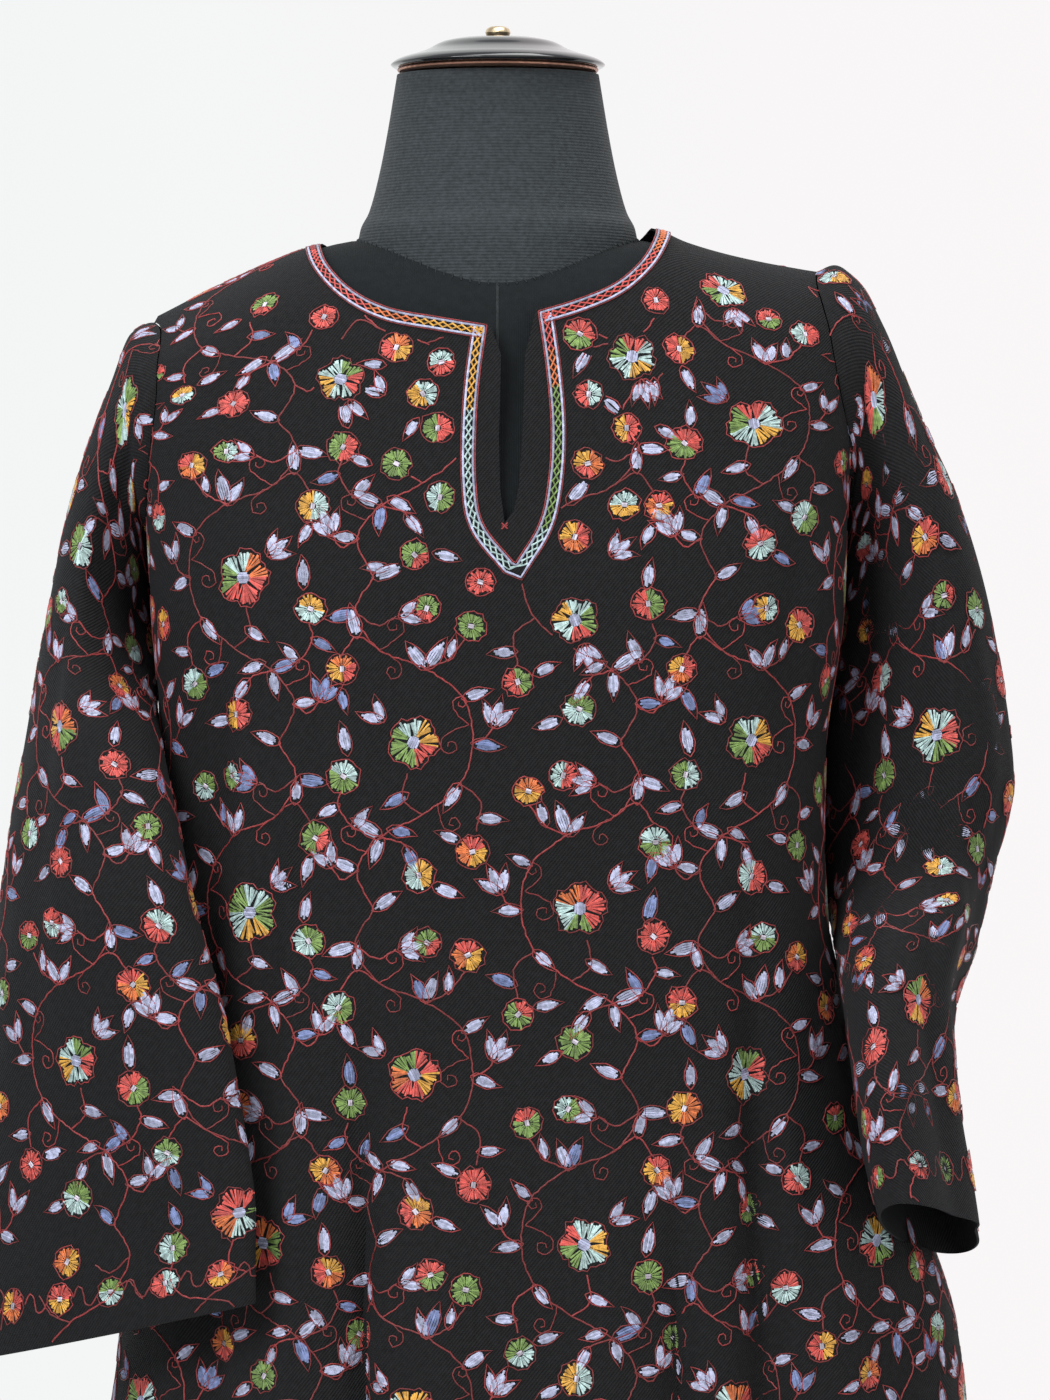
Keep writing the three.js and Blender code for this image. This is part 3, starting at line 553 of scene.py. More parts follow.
def sharpen(obj, degrees):
    """Hard edges where faces meet at more than this angle."""
    work = bmesh.new()
    work.from_mesh(obj.data)
    for edge in work.edges:
        if len(edge.link_faces) == 2:
            edge.smooth = edge.calc_face_angle(0) < math.radians(degrees)
    work.to_mesh(obj.data)
    work.free()


def subtract(obj, cutters, solver="EXACT"):
    for cutter in cutters:
        modifier = obj.modifiers.new("cut", "BOOLEAN")
        modifier.operation = "DIFFERENCE"
        modifier.solver = solver
        modifier.object = cutter
    evaluated = obj.evaluated_get(bpy.context.evaluated_depsgraph_get())
    mesh = bpy.data.meshes.new_from_object(evaluated)
    obj.modifiers.clear()
    old = obj.data
    obj.data = mesh
    bpy.data.meshes.remove(old)
    keep_largest(obj)


def keep_largest(obj):
    """Crumbs that a cut leaves behind are removed."""
    work = bmesh.new()
    work.from_mesh(obj.data)
    work.verts.ensure_lookup_table()
    seen = [False] * len(work.verts)
    groups = []
    for start in work.verts:
        if seen[start.index]:
            continue
        seen[start.index] = True
        stack, group = [start], []
        while stack:
            vert = stack.pop()
            group.append(vert)
            for edge in vert.link_edges:
                other = edge.other_vert(vert)
                if not seen[other.index]:
                    seen[other.index] = True
                    stack.append(other)
        groups.append(group)
    groups.sort(key=len, reverse=True)
    crumbs = [vert for group in groups[1:] for vert in group]
    if crumbs:
        bmesh.ops.delete(work, geom=crumbs, context="VERTS")
    work.to_mesh(obj.data)
    work.free()


def closed_rings(name, rings):
    """A solid over rings of points, closed by a fan at each end."""
    count_v, count_u = rings.shape[:2]
    ends = np.stack([rings[0].mean(0), rings[-1].mean(0)])
    points = np.concatenate([rings.reshape(-1, 3), ends])
    faces = grid_faces(count_v, count_u, 0, True, False).tolist()
    first, last = count_v * count_u, count_v * count_u + 1
    base = (count_v - 1) * count_u
    for i in range(count_u):
        following = (i + 1) % count_u
        faces.append([first, i, following])
        faces.append([last, base + following, base + i])
    return new_object(name, mesh_from(name, points, faces))


def prism(name, outline, low_y, high_y):
    """An outline in the x-z plane, extended from low_y to high_y."""
    outline = np.asarray(outline, float)
    count = len(outline)
    near = np.insert(outline, 1, low_y, axis=1)
    far = np.insert(outline, 1, high_y, axis=1)
    faces = [list(range(count)), list(range(2 * count - 1, count - 1, -1))]
    faces += [[i, count + i, count + (i + 1) % count, (i + 1) % count] for i in range(count)]
    obj = new_object(name, mesh_from(name, np.concatenate([near, far]), faces, False))
    work = bmesh.new()
    work.from_mesh(obj.data)
    bmesh.ops.recalc_face_normals(work, faces=work.faces)
    work.to_mesh(obj.data)
    work.free()
    return obj


def discard(*objects):
    for obj in objects:
        bpy.data.objects.remove(obj, do_unlink=True)


# ------------------------------------------------------------------ cutting tools
def front_neck_outline():
    left = curve_through(NECK_LEFT, 8)
    right = curve_through(NECK_RIGHT, 8)
    top = 1460
    return np.concatenate([[(left[0][0], top)], left, SLIT, right, [(right[-1][0], top)]])


def back_neck_outline():
    left, right = NECK_LEFT[0], NECK_RIGHT[-1]
    t = np.linspace(0, 1, 33)
    dip = 4 * t * (1 - t)
    line = left[1] + (right[1] - left[1]) * t
    z = line + (BACK_NECK_Z - line) * dip
    x = left[0] + (right[0] - left[0]) * t
    edge = np.stack([x, z], axis=1)
    return np.concatenate([[(left[0], 1460)], edge, [(right[0], 1460)]])


def body_core():
    drops = drop_levels(60)
    drops = drops[drops <= 230]
    turn = np.arange(0, 360, 2.5)
    points = body_surface(turn[None, :], drops[:, None])
    normal = body_normals(*spread(turn, drops))
    points = points + normal * SEAM
    points[0, :, 1] = -2 * np.cos(np.radians(turn))
    return closed_rings("tool_body", points)


def sleeve_core(name, surface):
    turn = np.arange(0, 360, 5.0)
    if surface is right_surface:
        turn = -turn
    along = np.linspace(0, 1, 57)
    points = surface(turn[None, :], along[:, None])
    normal = sleeve_normals(surface, *spread(turn, along))
    return closed_rings(name, points + normal * SEAM)


# ------------------------------------------------------------------ cloth pieces
def body_panel(name, sign, columns, count):
    drops = drop_levels(count)
    across = np.linspace(-90, 90, columns)
    turn = across if sign < 0 else 180 - across
    points = body_surface(turn[None, :], drops[:, None])
    normal = body_normals(*spread(turn, drops)).copy()
    wrong = normal[..., 1] * sign < 0
    normal[..., 1][wrong] = 0
    edge = np.zeros(points.shape[:2], bool)
    edge[0] = edge[:, 0] = edge[:, -1] = True
    points[..., 1][edge] = sign * SEAM / 2
    normal[..., 1][edge] = 0
    normal = unit(normal)
    used = front_map if sign < 0 else back_map
    s = flat_across(used, HALF_TURN, across, drops)
    l = np.interp(drops, used.vs, used.l)
    uv = np.stack([s, np.broadcast_to(-l[:, None], s.shape)], axis=-1)
    if sign > 0:
        points, normal, uv = points[:, ::-1], normal[:, ::-1], uv[:, ::-1]
    return shell(name, points, normal, CLOTH, False, uv)


def sleeve_shell(name, surface, used, segments, steps):
    turn = np.arange(segments) * 360 / segments
    if surface is right_surface:
        turn = -turn
    along = np.linspace(0, 1, steps)
    points = surface(turn[None, :], along[:, None])
    normal = sleeve_normals(surface, *spread(turn, along))
    wrapped = (turn + 180) % 360 - 180
    s = flat_across(used, FULL_TURN, wrapped, along)
    l = np.interp(along, used.vs, used.l)
    uv = np.stack([s, np.broadcast_to(-l[:, None], s.shape)], axis=-1)
    return shell(name, points, normal, CLOTH, True, uv)


# ------------------------------------------------------------------ needlework charts
# One repeat of the vine, in mm from its large flower, x across and y down. Every second
# column is mirrored and dropped by half a repeat.
REPEAT = {"width": 92.0, "height": 178.0}
BORDER_RISE = 23.0  # height of the border's flowers above a hem
STEMS = (
    ((20, -89), (30, -70), (17, -50), (-8, -40), (-28, -24), (-33, 0), (-26, 22), (-6, 38), (16, 50),
     (29, 68), (20, 89)),
    ((-6, 38), (4, 30), (2, 16)),
    ((-8, -40), (-20, -45), (-29, -56)),
    ((17, -50), (29, -57), (38, -46)),
    ((16, 50), (31, 45), (39, 33), (37, 25)),
    ((-26, 22), (-37, 31), (-35, 47)),
    ((16, 50), (4, 54), (-3, 63)),
    ((30, -70), (18, -63), (8, -68)),
    ((29, 68), (37, 73), (43, 66)),
    ((-33, 0), (-40, -3), (-44, -9)),
)
# x, y, radius, kind: 1 is a small round flower, 2 a large lobed one.
FLOWERS = (
    (0, 0, 14.5, 2), (-31, -64, 8.6, 1), (39, -38, 8.4, 1), (36, 16, 8.8, 1), (-34, 56, 8.5, 1),
    (-4, 72, 8.8, 1), (-10, -72, 7.6, 1),
)
# Base x, y, direction in degrees (0 right, 90 down) and length.
LEAVES = (
    (-8, -40, -115, 13), (-8, -40, -62, 12), (16, 50, -30, 13), (16, 50, 78, 12), (-33, 0, 168, 12),
    (-28, -24, -150, 11), (30, -70, 12, 13), (29, 68, -12, 11), (-26, 22, 50, 12), (39, 33, 20, 10),
    (29, -57, -84, 12), (-36, 40, -172, 11), (3, 55, 118, 11), (20, -89, -148, 12), (12, 46, 160, 11),
    (-20, -45, -100, 10), (2, 27, 24, 11), (31, 45, -125, 11), (34, 6, -80, 12), (-26, 52, -15, 11),
    (-12, 76, 160, 11), (38, -29, 112, 11),
)
BUDS = ((6, -68, -165, 11), (43, 66, -70, 12), (-44, -9, -110, 12), (15, -12, -38, 11))
# Start x, y, start direction, turning sense and size.
CURLS = (
    (17, -50, -150, 1, 11), (17, -50, 150, -1, 10), (-31, -10, 20, 1, 11), (-31, -10, -40, -1, 9),
    (24, 58, -20, -1, 10), (-14, 32, 100, 1, 10),
)

THREADS = {
    "red": (0.27, 0.024, 0.026),
    "coral": (0.64, 0.085, 0.07),
    "orange": (0.70, 0.17, 0.045),
    "yellow": (0.72, 0.36, 0.05),
    "green": (0.19, 0.30, 0.075),
    "mint": (0.46, 0.62, 0.60),
    "lavender": (0.43, 0.45, 0.62),
    "blue": (0.18, 0.23, 0.44),
    "pale": (0.58, 0.52, 0.60),
}
THREAD_NAMES = list(THREADS)
LIT_AND_SHADED_TONES = (0.72, 1.12)  # every thread has a darker and a lighter copy: painted shade and painted light for stitches that catch the light differently
SMALL_SETS = (
    ("coral", "coral"), ("coral", "yellow"), ("green", "mint"), ("mint", "yellow"), ("coral", "green"),
    ("orange", "yellow"), ("mint", "coral"), ("green", "coral", "green"), ("yellow", "orange", "coral"),
    ("green", "green"), ("coral", "orange", "yellow"), ("mint", "green"),
)
LARGE_SETS = (
    ("coral", "orange", "green", "coral", "yellow"),
    ("green", "mint", "green", "yellow", "mint"),
    ("mint", "green", "coral", "mint", "yellow"),
    ("coral", "coral", "green", "mint", "orange"),
    ("yellow", "coral", "green", "green", "mint"),
)
# The flowers round the neck stand in turn out from its border: distance, radius and kind.
GARLAND_PITCH = 17.0
GARLAND_TRACKS = ((21, 8.2, 1), (41, 7.6, 1), (22, 7.4, 1), (47, 12.5, 2), (21, 8.6, 1), (43, 8.2, 1))
# Small leaves between them: distance of the base, lean from straight out in degrees and length.
GARLAND_LEAVES = ((13.5, 48, 9), (31, -40, 11), (14, -52, 9), (57, 25, 12))
# Highest place for a flower on each side, as seen from the front: x and z.
SHOULDER_LINE = ((-190, 1348), (-98, 1390), (87, 1400), (185, 1378))
LINE_WIDTH = 0.82
LEAF_SCALE = 1.2
CURL_SCALE = 1.3
OUTLINE_WIDTH = 0.62
SATIN_WIDTH = 1.18
THREAD_HEIGHT = 0.55


class Needlework:
    """Stitches in flat coordinates: lines of a thread, and satin stitches of three points."""

    def __init__(self, blocked=None):
        self.lines = []
        self.satins = []
        self.blocked = blocked
        self.tones = np.random.default_rng(11)

    def colour(self, thread):
        """The thread's material: one of its two tones, the painted-shade or the painted-light copy, picked
        at random.
        """
        return THREAD_NAMES.index(thread) * len(LIT_AND_SHADED_TONES) + int(self.tones.random() < 0.5)

    def free(self, x, y, radius):
        return self.blocked is None or not self.blocked(x, y, radius)

    def line(self, points, thread, width=LINE_WIDTH, rough=0.4):
        points = np.array(points, float)
        points[1:-1] += self.tones.uniform(-rough, rough, points[1:-1].shape)
        self.lines.append((points, self.colour(thread), width))

    def satin(self, start, end, thread, narrow=1.0):
        start, end = np.asarray(start, float), np.asarray(end, float)
        self.satins.append((np.stack([start, (start + end) / 2, end]), self.colour(thread), narrow))


def turned(points, degrees):
    angle = math.radians(degrees)
    matrix = np.array([[math.cos(angle), math.sin(angle)], [-math.sin(angle), math.cos(angle)]])
    return np.asarray(points, float) @ matrix


def sew_leaf(work, x, y, direction, length, thread, rng, fat=0.2):
    """A block of long satin stitches with a pointed tail, outlined in red."""
    count = 5 if length > 10.5 else 4
    half = fat * length
    taper = rng.uniform(0.45, 0.8)
    for k in np.linspace(-0.82, 0.82, count):
        jitter = rng.uniform(-1.1, 1.1, 2)
        start = (0.12 * length + abs(k) * 1.5 + jitter[0], k * half * 0.75)
        middle = (0.5 * length, k * half)
        end = (0.93 * length - abs(k) * 2.4 + jitter[1], k * half * taper)
        stitch = turned([start, middle, end], direction) + (x, y)
        work.satins.append((stitch, work.colour(thread), 0.8))
    reach = half + 0.75
    outline = [
        (-1.2, 0), (0.1 * length, 0.72 * reach), (0.4 * length, reach), (0.7 * length, 0.86 * reach),
        (0.93 * length, 0.5 * reach), (length + 3.2, rng.uniform(-1, 1)), (0.93 * length, -0.5 * reach),
        (0.7 * length, -0.86 * reach), (0.4 * length, -reach), (0.1 * length, -0.72 * reach), (-1.2, 0),
    ]
    work.line(turned(outline, direction) + (x, y), "red", OUTLINE_WIDTH)


def sew_bud(work, x, y, direction, length, thread, rng):
    lobes = (-27, 27) if rng.random() < 0.5 else (-36, 0, 36)
    for lobe in lobes:
        sew_leaf(work, x, y, direction + lobe, length * (1.0 if lobe else 1.1), thread, rng, 0.19)


def sew_flower(work, x, y, radius, kind, colours, rng):
    """Radial satin stitches in sectors of colour round a small centre."""
    lobes = 7 if kind == 1 else 5
    start = rng.uniform(0, 2 * math.pi)
    core = 1.7 if kind == 1 else 3.4
    count = int(2 * math.pi * radius / 1.52)
    angles = start + np.arange(count) * 2 * math.pi / count
    depth = 0.12 if kind == 1 else 0.24
    stretch = rng.uniform(0.86, 1.0)
    slant = rng.uniform(0, math.pi)

    def reach(angle):
        lobed = 1 - depth + depth * abs(math.cos(lobes * (angle - start) / 2)) ** 0.6
        return radius * lobed * (stretch + (1 - stretch) * abs(math.cos(angle - slant)))

    for k, angle in enumerate(angles):
        part = (angle - start) / (2 * math.pi)
        colour = colours[min(len(colours) - 1, int(part * len(colours)))]
        lean = 0.0
        if kind == 2:
            nearest = round((angle - start) * lobes / (2 * math.pi)) * 2 * math.pi / lobes
            lean = 0.4 * math.sin(start + nearest - angle)
        outer = reach(angle) + rng.uniform(-1.5, 0.5)
        angle += rng.uniform(-0.06, 0.06)
        inner = core + (1.7 if k % 2 else 0.2)
        a = (x + inner * math.cos(angle + lean), y + inner * math.sin(angle + lean))
        b = (x + outer * math.cos(angle), y + outer * math.sin(angle))
        work.satin(a, b, colour, 0.5)
    rows_in_core = 2 if kind == 1 else 5
    for k in range(rows_in_core):
        offset = (k - (rows_in_core - 1) / 2) * 1.2
        span = math.sqrt(max(0.9, core**2 - offset**2))
        a = turned([(-span, offset)], math.degrees(start))[0] + (x, y)
        b = turned([(span, offset)], math.degrees(start))[0] + (x, y)
        work.satin(a, b, "lavender" if kind == 2 else "pale", 0.9)
    steps = 20 if kind == 1 else 34
    ring = np.linspace(0, 2 * math.pi, steps + 1) + start
    spikes = 1.0 + np.where(np.arange(steps + 1) % 2, rng.uniform(0.0, 0.13, steps + 1), 0)
    edge = np.array([reach(a) + 0.6 for a in ring]) * spikes
    edge[-1] = edge[0]
    outline = np.stack([x + edge * np.cos(ring), y + edge * np.sin(ring)], axis=1)
    work.line(outline, "red", OUTLINE_WIDTH, 0.32)


def sew_curl(work, x, y, direction, sense, size):
    """A tendril of a few straight stitches that turns in on itself."""
    bends = np.array([0, 12, 52, 62, 68, 72, 76, 80])
    steps = np.array([0.62, 0.5, 0.42, 0.4, 0.36, 0.31, 0.26, 0.2]) * size * CURL_SCALE
    angle = np.radians(direction + sense * np.cumsum(bends))
    points = np.cumsum(np.stack([np.cos(angle) * steps, np.sin(angle) * steps], axis=1), axis=0)
    points = np.concatenate([[(0, 0)], points]) + (x, y)
    work.line(resample(points, 2.4), "red", OUTLINE_WIDTH)


def sew_repeat(work, x, y, mirrored, seed):
    rng = np.random.default_rng(seed)
    side = -1 if mirrored else 1

    def at(px, py):
        return x + side * px, y + py

    def heading(degrees):
        return 180 - degrees if mirrored else degrees

    for stem in STEMS:
        curve = curve_through(stem, 8) * (side, 1) + (x, y)
        work.line(resample(curve, 2.6), "red")
    for fx, fy, radius, kind in FLOWERS:
        sets = SMALL_SETS if kind == 1 else LARGE_SETS
        colours = sets[rng.integers(len(sets))]
        spot = at(fx + rng.uniform(-2, 2), fy + rng.uniform(-2, 2))
        radius = radius * rng.uniform(0.9, 1.08)
        if work.free(*spot, radius):
            sew_flower(work, *spot, radius, kind, colours, rng)
    for lx, ly, direction, length in LEAVES:
        thread = "blue" if rng.random() < 0.2 else "lavender"
        lean = heading(direction + rng.uniform(-12, 12))
        length = LEAF_SCALE * length * rng.uniform(0.88, 1.12)
        middle = turned([(length / 2, 0)], lean)[0] + at(lx, ly)
        if work.free(*middle, length / 2):
            sew_leaf(work, *at(lx, ly), lean, length, thread, rng)
    for bx, by, direction, length in BUDS:
        thread = "blue" if rng.random() < 0.25 else "lavender"
        if work.free(*at(bx, by), length * 0.8):
            sew_bud(work, *at(bx, by), heading(direction + rng.uniform(-8, 8)), length * 1.12, thread, rng)
    for cx, cy, direction, sense, size in CURLS:
        if work.free(*at(cx, cy), size):
            sew_curl(work, *at(cx, cy), heading(direction), sense * side, size)


def sew_border(work, first, last, level, seed):
    """A row of small flowers joined by red curls, such as above a cuff."""
    rng = np.random.default_rng(seed)
    pitch = 34.0
    count = max(1, int((last - first) / pitch))
    for k in range(count + 1):
        x = first + (k + 0.5) * (last - first) / (count + 1)
        sew_flower(work, x, level, 8.0, 1, SMALL_SETS[rng.integers(len(SMALL_SETS))], rng)
        middle = x + pitch / 2
        wave = np.array(
            [(x + 9, 0), (x + 12, -5), (middle - 2, -3), (middle, 4), (middle + 4, 5), (x + pitch - 9, 0)]
        )
        work.line(resample(curve_through(wave, 4) + (0, level), 2.2), "red", 0.85)


def sew_field(columns, levels, origin, first_seed, blocked):
    work = Needlework(blocked)
    seed = first_seed
    for i in range(-columns, columns + 1):
        for j in range(levels):
            x = origin[0] + i * REPEAT["width"]
            y = origin[1] + (j + (0.5 if i % 2 else 0)) * REPEAT["height"] - REPEAT["height"]
            sew_repeat(work, x, y, i % 2 == 1, seed)
            seed += 1
    return work


# ------------------------------------------------------------------ stitches on the cloth
def strip_mesh(points, normals, widths, heights):
    """Raised threads over rows of points; returns vertices and faces."""
    tangent = np.gradient(points, axis=1)
    side = unit(np.cross(normals, tangent))
    half = side * widths[..., None] / 2
    base = points + normals * 0.12
    ridge = points + normals * heights[..., None]
    verts = np.stack([base - half, ridge, base + half], axis=2)
    count, length = points.shape[:2]
    start = (np.arange(count) * length * 3)[:, None, None]
    step = (np.arange(length - 1) * 3)[None, :, None]
    left = np.array([0, 1, 4, 3])[None, None, :]
    quads = np.concatenate([start + step + left, start + step + left + 1], axis=1)
    return verts.reshape(-1, 3), quads.reshape(-1, 4), 2 * (length - 1)


class Strips:
    """Strips of thread gathered into one mesh."""

    def __init__(self):
        self.points, self.faces, self.threads = [], [], []
        self.size = 0

    def add(self, points, normals, widths, heights, threads=0):
        verts, faces, per = strip_mesh(points, normals, widths, heights)
        self.points.append(verts)
        self.faces.append(faces + self.size)
        self.threads.append(np.repeat(np.broadcast_to(threads, len(points)), per))
        self.size += len(verts)

    def build(self, name, materials):
        mesh = mesh_from(name, np.concatenate(self.points), np.concatenate(self.faces).tolist())
        mesh.polygons.foreach_set("material_index", np.concatenate(self.threads).astype(np.int32))
        obj = new_object(name, mesh)
        for material in materials:
            obj.data.materials.append(material)
        return obj


def stitch_object(name, lines, satins, used, allowed):
    """Builds stitches of a panel as one mesh with a material for each thread."""
    groups = {}
    for points, thread, width in lines:
        groups.setdefault((len(points), "line"), []).append((points, thread, width))
    for points, thread, narrow in satins:
        groups.setdefault((3, "satin"), []).append((points, thread, narrow))
    strips = Strips()
    for (length, kind), members in groups.items():
        flat = np.array([m[0] for m in members])
        threads = np.array([m[1] for m in members])
        size = np.array([m[2] for m in members])
        keep = used.inside(flat[..., 0], flat[..., 1], 1.0)
        points, normals = used.place(flat[..., 0].ravel(), flat[..., 1].ravel())
        points = points.reshape(flat.shape[:2] + (3,))
        normals = normals.reshape(points.shape)
        keep &= allowed(points)
        if kind == "satin":
            chosen = keep.all(axis=1)
            widths = SATIN_WIDTH * np.stack([size, (size + 1) / 2, np.ones_like(size)], axis=1)
            heights = np.tile([0.2, THREAD_HEIGHT, 0.2], (len(members), 1))
            cuts = [(chosen, slice(None))]
        else:
            widths = np.repeat(size[:, None], length, axis=1)
            heights = np.tile(THREAD_HEIGHT * 0.85 + 0.1 * (np.arange(length) % 2), (len(members), 1))
            whole = keep.all(axis=1)
            cuts = [(whole, slice(None))]
            for k in np.nonzero(~whole)[0]:
                ends = np.nonzero(np.diff(np.concatenate([[0], keep[k].astype(int), [0]])))[0]
                cuts += [([k], slice(a, b)) for a, b in ends.reshape(-1, 2) if b - a >= 3]
        for chosen, part in cuts:
            if len(points[chosen]):
                grids = [grid[chosen][:, part] for grid in (points, normals, widths, heights)]
                strips.add(*grids, threads[chosen])
    return strips.build(name, thread_materials)


def polygon_contains(outline, x, z):
    inside = np.zeros(x.shape, bool)
    a = outline
    b = np.roll(outline, -1, axis=0)
    for (ax, az), (bx, bz) in zip(a, b):
        crosses = (az > z) != (bz > z)
        at = ax + (z - az) * (bx - ax) / (bz - az if bz != az else 1)
        inside ^= crosses & (x < at)
    return inside


def distance_to_line(line, x, z):
    best = np.full(x.shape, 1e9)
    for (ax, az), (bx, bz) in zip(line[:-1], line[1:]):
        dx, dz = bx - ax, bz - az
        t = np.clip(((x - ax) * dx + (z - az) * dz) / max(dx * dx + dz * dz, 1e-9), 0, 1)
        best = np.minimum(best, np.hypot(x - ax - t * dx, z - az - t * dz))
    return best


def outside_of(tree, points, near):
    """True where points lie outside a closed solid; only those marked near are tested."""
    flat = points.reshape(-1, 3)
    out = np.ones(len(flat), bool)
    for k in np.nonzero(near.ravel())[0]:
        spot = Vector(flat[k] * MM)
        place, normal, _, _ = tree.find_nearest(spot)
        out[k] = (spot - place).dot(normal) > -0.0004
    return out.reshape(points.shape[:-1])


# ------------------------------------------------------------------ neck border
BAND_LEFT = NECK_LEFT[:-1] + ((-5, 1346.5),)
BAND_SLIT = ((-5, 1346.5), (-9, 1318), (-11, 1290), (-11, 1262), (-7, 1239), (9.5, 1218), (22, 1239),
             (27, 1262), (28.5, 1290), (26, 1322), (21.5, 1354))
BAND_RIGHT = ((21.5, 1354),) + NECK_RIGHT[1:-1] + ((87, 1405),)
# Distance from the border's inner edge, thread and width of each line.
BAND_LINES = ((0.5, "red", 0.7), (1.7, "lavender", 1.2), (7.0, "lavender", 1.2), (8.2, "red", 0.7))
BAND_CROSS = (2.5, 6.2)
BAND_PITCH = 5.1
SLIT_END = (4.0, 1239.0)
# Threads of the crossed infill, from the left shoulder round the slit to the right shoulder.
BAND_THREADS = (
    (0.00, "red"), (0.05, "coral"), (0.17, "orange"), (0.21, "yellow"), (0.36, "mint"), (0.40, "mint"),
    (0.52, "mint"), (0.56, "green"), (0.69, "orange"), (0.73, "coral"), (0.9, "orange"),
)


def front_turn(x, z):
    """Turn and drop of the front panel at places given as seen from the front."""
    x, z = np.asarray(x, float), np.asarray(z, float)
    shoulder = body_surface.shoulder(x)
    low, high = np.zeros_like(x), np.full_like(x, HEM_DROP)
    for _ in range(40):
        middle = (low + high) / 2
        height = shoulder + (SHOULDER_Z - shoulder) * smooth(middle / SIDE_LEVEL) - middle
        below = height < z
        high = np.where(below, middle, high)
        low = np.where(below, low, middle)
    drop = np.maximum((low + high) / 2, 0.4)
    first, last = np.full_like(x, -89.0), np.full_like(x, 89.0)
    for _ in range(30):
        middle = (first + last) / 2
        right = body_surface(middle, drop)[..., 0] > x
        last = np.where(right, middle, last)
        first = np.where(right, first, middle)
    return (first + last) / 2, drop


def front_place(x, z):
    turn, drop = front_turn(x, z)
    return body_surface(turn, drop), body_normals(turn, drop)


def band_side(points, normals):
    """Sideways directions of a path on the cloth, mitred at its corners."""
    tangent = unit(np.diff(points, axis=0))
    first = np.cross(tangent, normals[:-1])
    second = np.cross(tangent, normals[1:])
    before = unit(np.concatenate([first[:1], second]))
    after = unit(np.concatenate([first, second[-1:]]))
    middle = unit(before + after)
    return middle / np.maximum(0.4, np.sum(middle * after, axis=1))[:, None]


def neck_border():
    sides = (BAND_LEFT, BAND_SLIT[:6], BAND_SLIT[5:], BAND_RIGHT)
    parts = [resample(curve_through(side, 8), 1.2) for side in sides]
    path = np.concatenate([part[:-1] for part in parts[:-1]] + parts[-1:])
    points, normals = front_place(path[:, 0], path[:, 1])
    side = band_side(points, normals)
    lengths = np.concatenate([[0], np.cumsum(np.linalg.norm(np.diff(points, axis=0), axis=1))])
    total = lengths[-1]

    def spot(along, away):
        row = np.array([np.interp(along, lengths, points[:, k]) for k in range(3)]).T
        sideways = np.array([np.interp(along, lengths, side[:, k]) for k in range(3)]).T
        normal = unit(np.array([np.interp(along, lengths, normals[:, k]) for k in range(3)]).T)
        return row + sideways * np.asarray(away)[..., None], normal

    strips = Strips()

    def add(p, n, width, height, thread):
        # alternate strips take the painted-shade and the painted-light copy of a thread
        tone = (len(strips.faces) + 1) % len(LIT_AND_SHADED_TONES)
        index = THREAD_NAMES.index(thread) * len(LIT_AND_SHADED_TONES) + tone
        strips.add(p, n, np.full(p.shape[:2], width), height, index)

    for away, thread, width in BAND_LINES:
        along = np.linspace(0, total, int(total / 1.5))
        p, n = spot(along, np.full(len(along), away))
        chain = 0.55 + 0.22 * (np.arange(len(along)) % 2)
        add(p[None], n[None], width, chain[None], thread)
    near, far = BAND_CROSS
    count = int(total / BAND_PITCH)
    for k in range(count):
        along = (k + 0.5) * total / count
        thread = [name for start, name in BAND_THREADS if along / total >= start][-1]
        for first, last in ((near, far), (far, near)):
            t = np.linspace(0, 1, 4)
            p, n = spot(along + (t - 0.5) * BAND_PITCH * 1.25, first + (last - first) * t)
            top = 0.85 if first == near else 0.65
            lift = np.array([0.3, top, top, 0.3])
            add(p[None], n[None], 0.85, lift[None], thread)
    for tilt in (-1.6, 0.2, 1.8):
        x = SLIT_END[0] + np.linspace(-1.6, 1.6, 3)
        p, n = front_place(x, SLIT_END[1] - 1.5 + tilt * np.linspace(-1, 1, 3))
        add(p[None], n[None], 0.8, np.full((1, 3), 0.7), "red")
    return strips.build("neck_border", thread_materials)


# ------------------------------------------------------------------ materials
class Nodes:
    """Short helper for building a material's nodes."""

    def __init__(self, name, colour, roughness, metallic=0.0):
        self.material = bpy.data.materials.new(name)
        self.material.use_nodes = True
        self.tree = self.material.node_tree
        self.shader = self.tree.nodes["Principled BSDF"]
        self.set("Base Color", (*colour, 1))
        self.set("Roughness", roughness)
        self.set("Metallic", metallic)

    def set(self, socket, value):
        self.shader.inputs[socket].default_value = value

    def add(self, kind, **settings):
        node = self.tree.nodes.new(kind)
        for key, value in settings.items():
            setattr(node, key, value)
        return node

    def link(self, source, target):
        self.tree.links.new(source, target)

    def math(self, operation, a, b=0.0):
        node = self.add("ShaderNodeMath", operation=operation)
        for socket, value in zip(node.inputs, (a, b)):
            if isinstance(value, (int, float)):
                socket.default_value = value
            else:
                self.link(value, socket)
        return node.outputs[0]

    def noise(self, vector, scale, detail=2.0):
        node = self.add("ShaderNodeTexNoise")
        node.inputs["Scale"].default_value = scale
        node.inputs["Detail"].default_value = detail
        self.link(vector, node.inputs["Vector"])
        return node.outputs["Fac"]

    def bump(self, height, distance, strength=1.0):
        node = self.add("ShaderNodeBump")
        node.inputs["Distance"].default_value = distance
        node.inputs["Strength"].default_value = strength
        self.link(height, node.inputs["Height"])
        self.link(node.outputs["Normal"], self.shader.inputs["Normal"])

    def ramp_colour(self, factor, low, high, low_at=0.3, high_at=0.7, socket="Base Color"):
        node = self.add("ShaderNodeValToRGB")
        node.color_ramp.elements[0].position = low_at
        node.color_ramp.elements[1].position = high_at
        node.color_ramp.elements[0].color = (*low, 1)
        node.color_ramp.elements[1].color = (*high, 1)
        self.link(factor, node.inputs["Fac"])
        self.link(node.outputs["Color"], self.shader.inputs[socket])


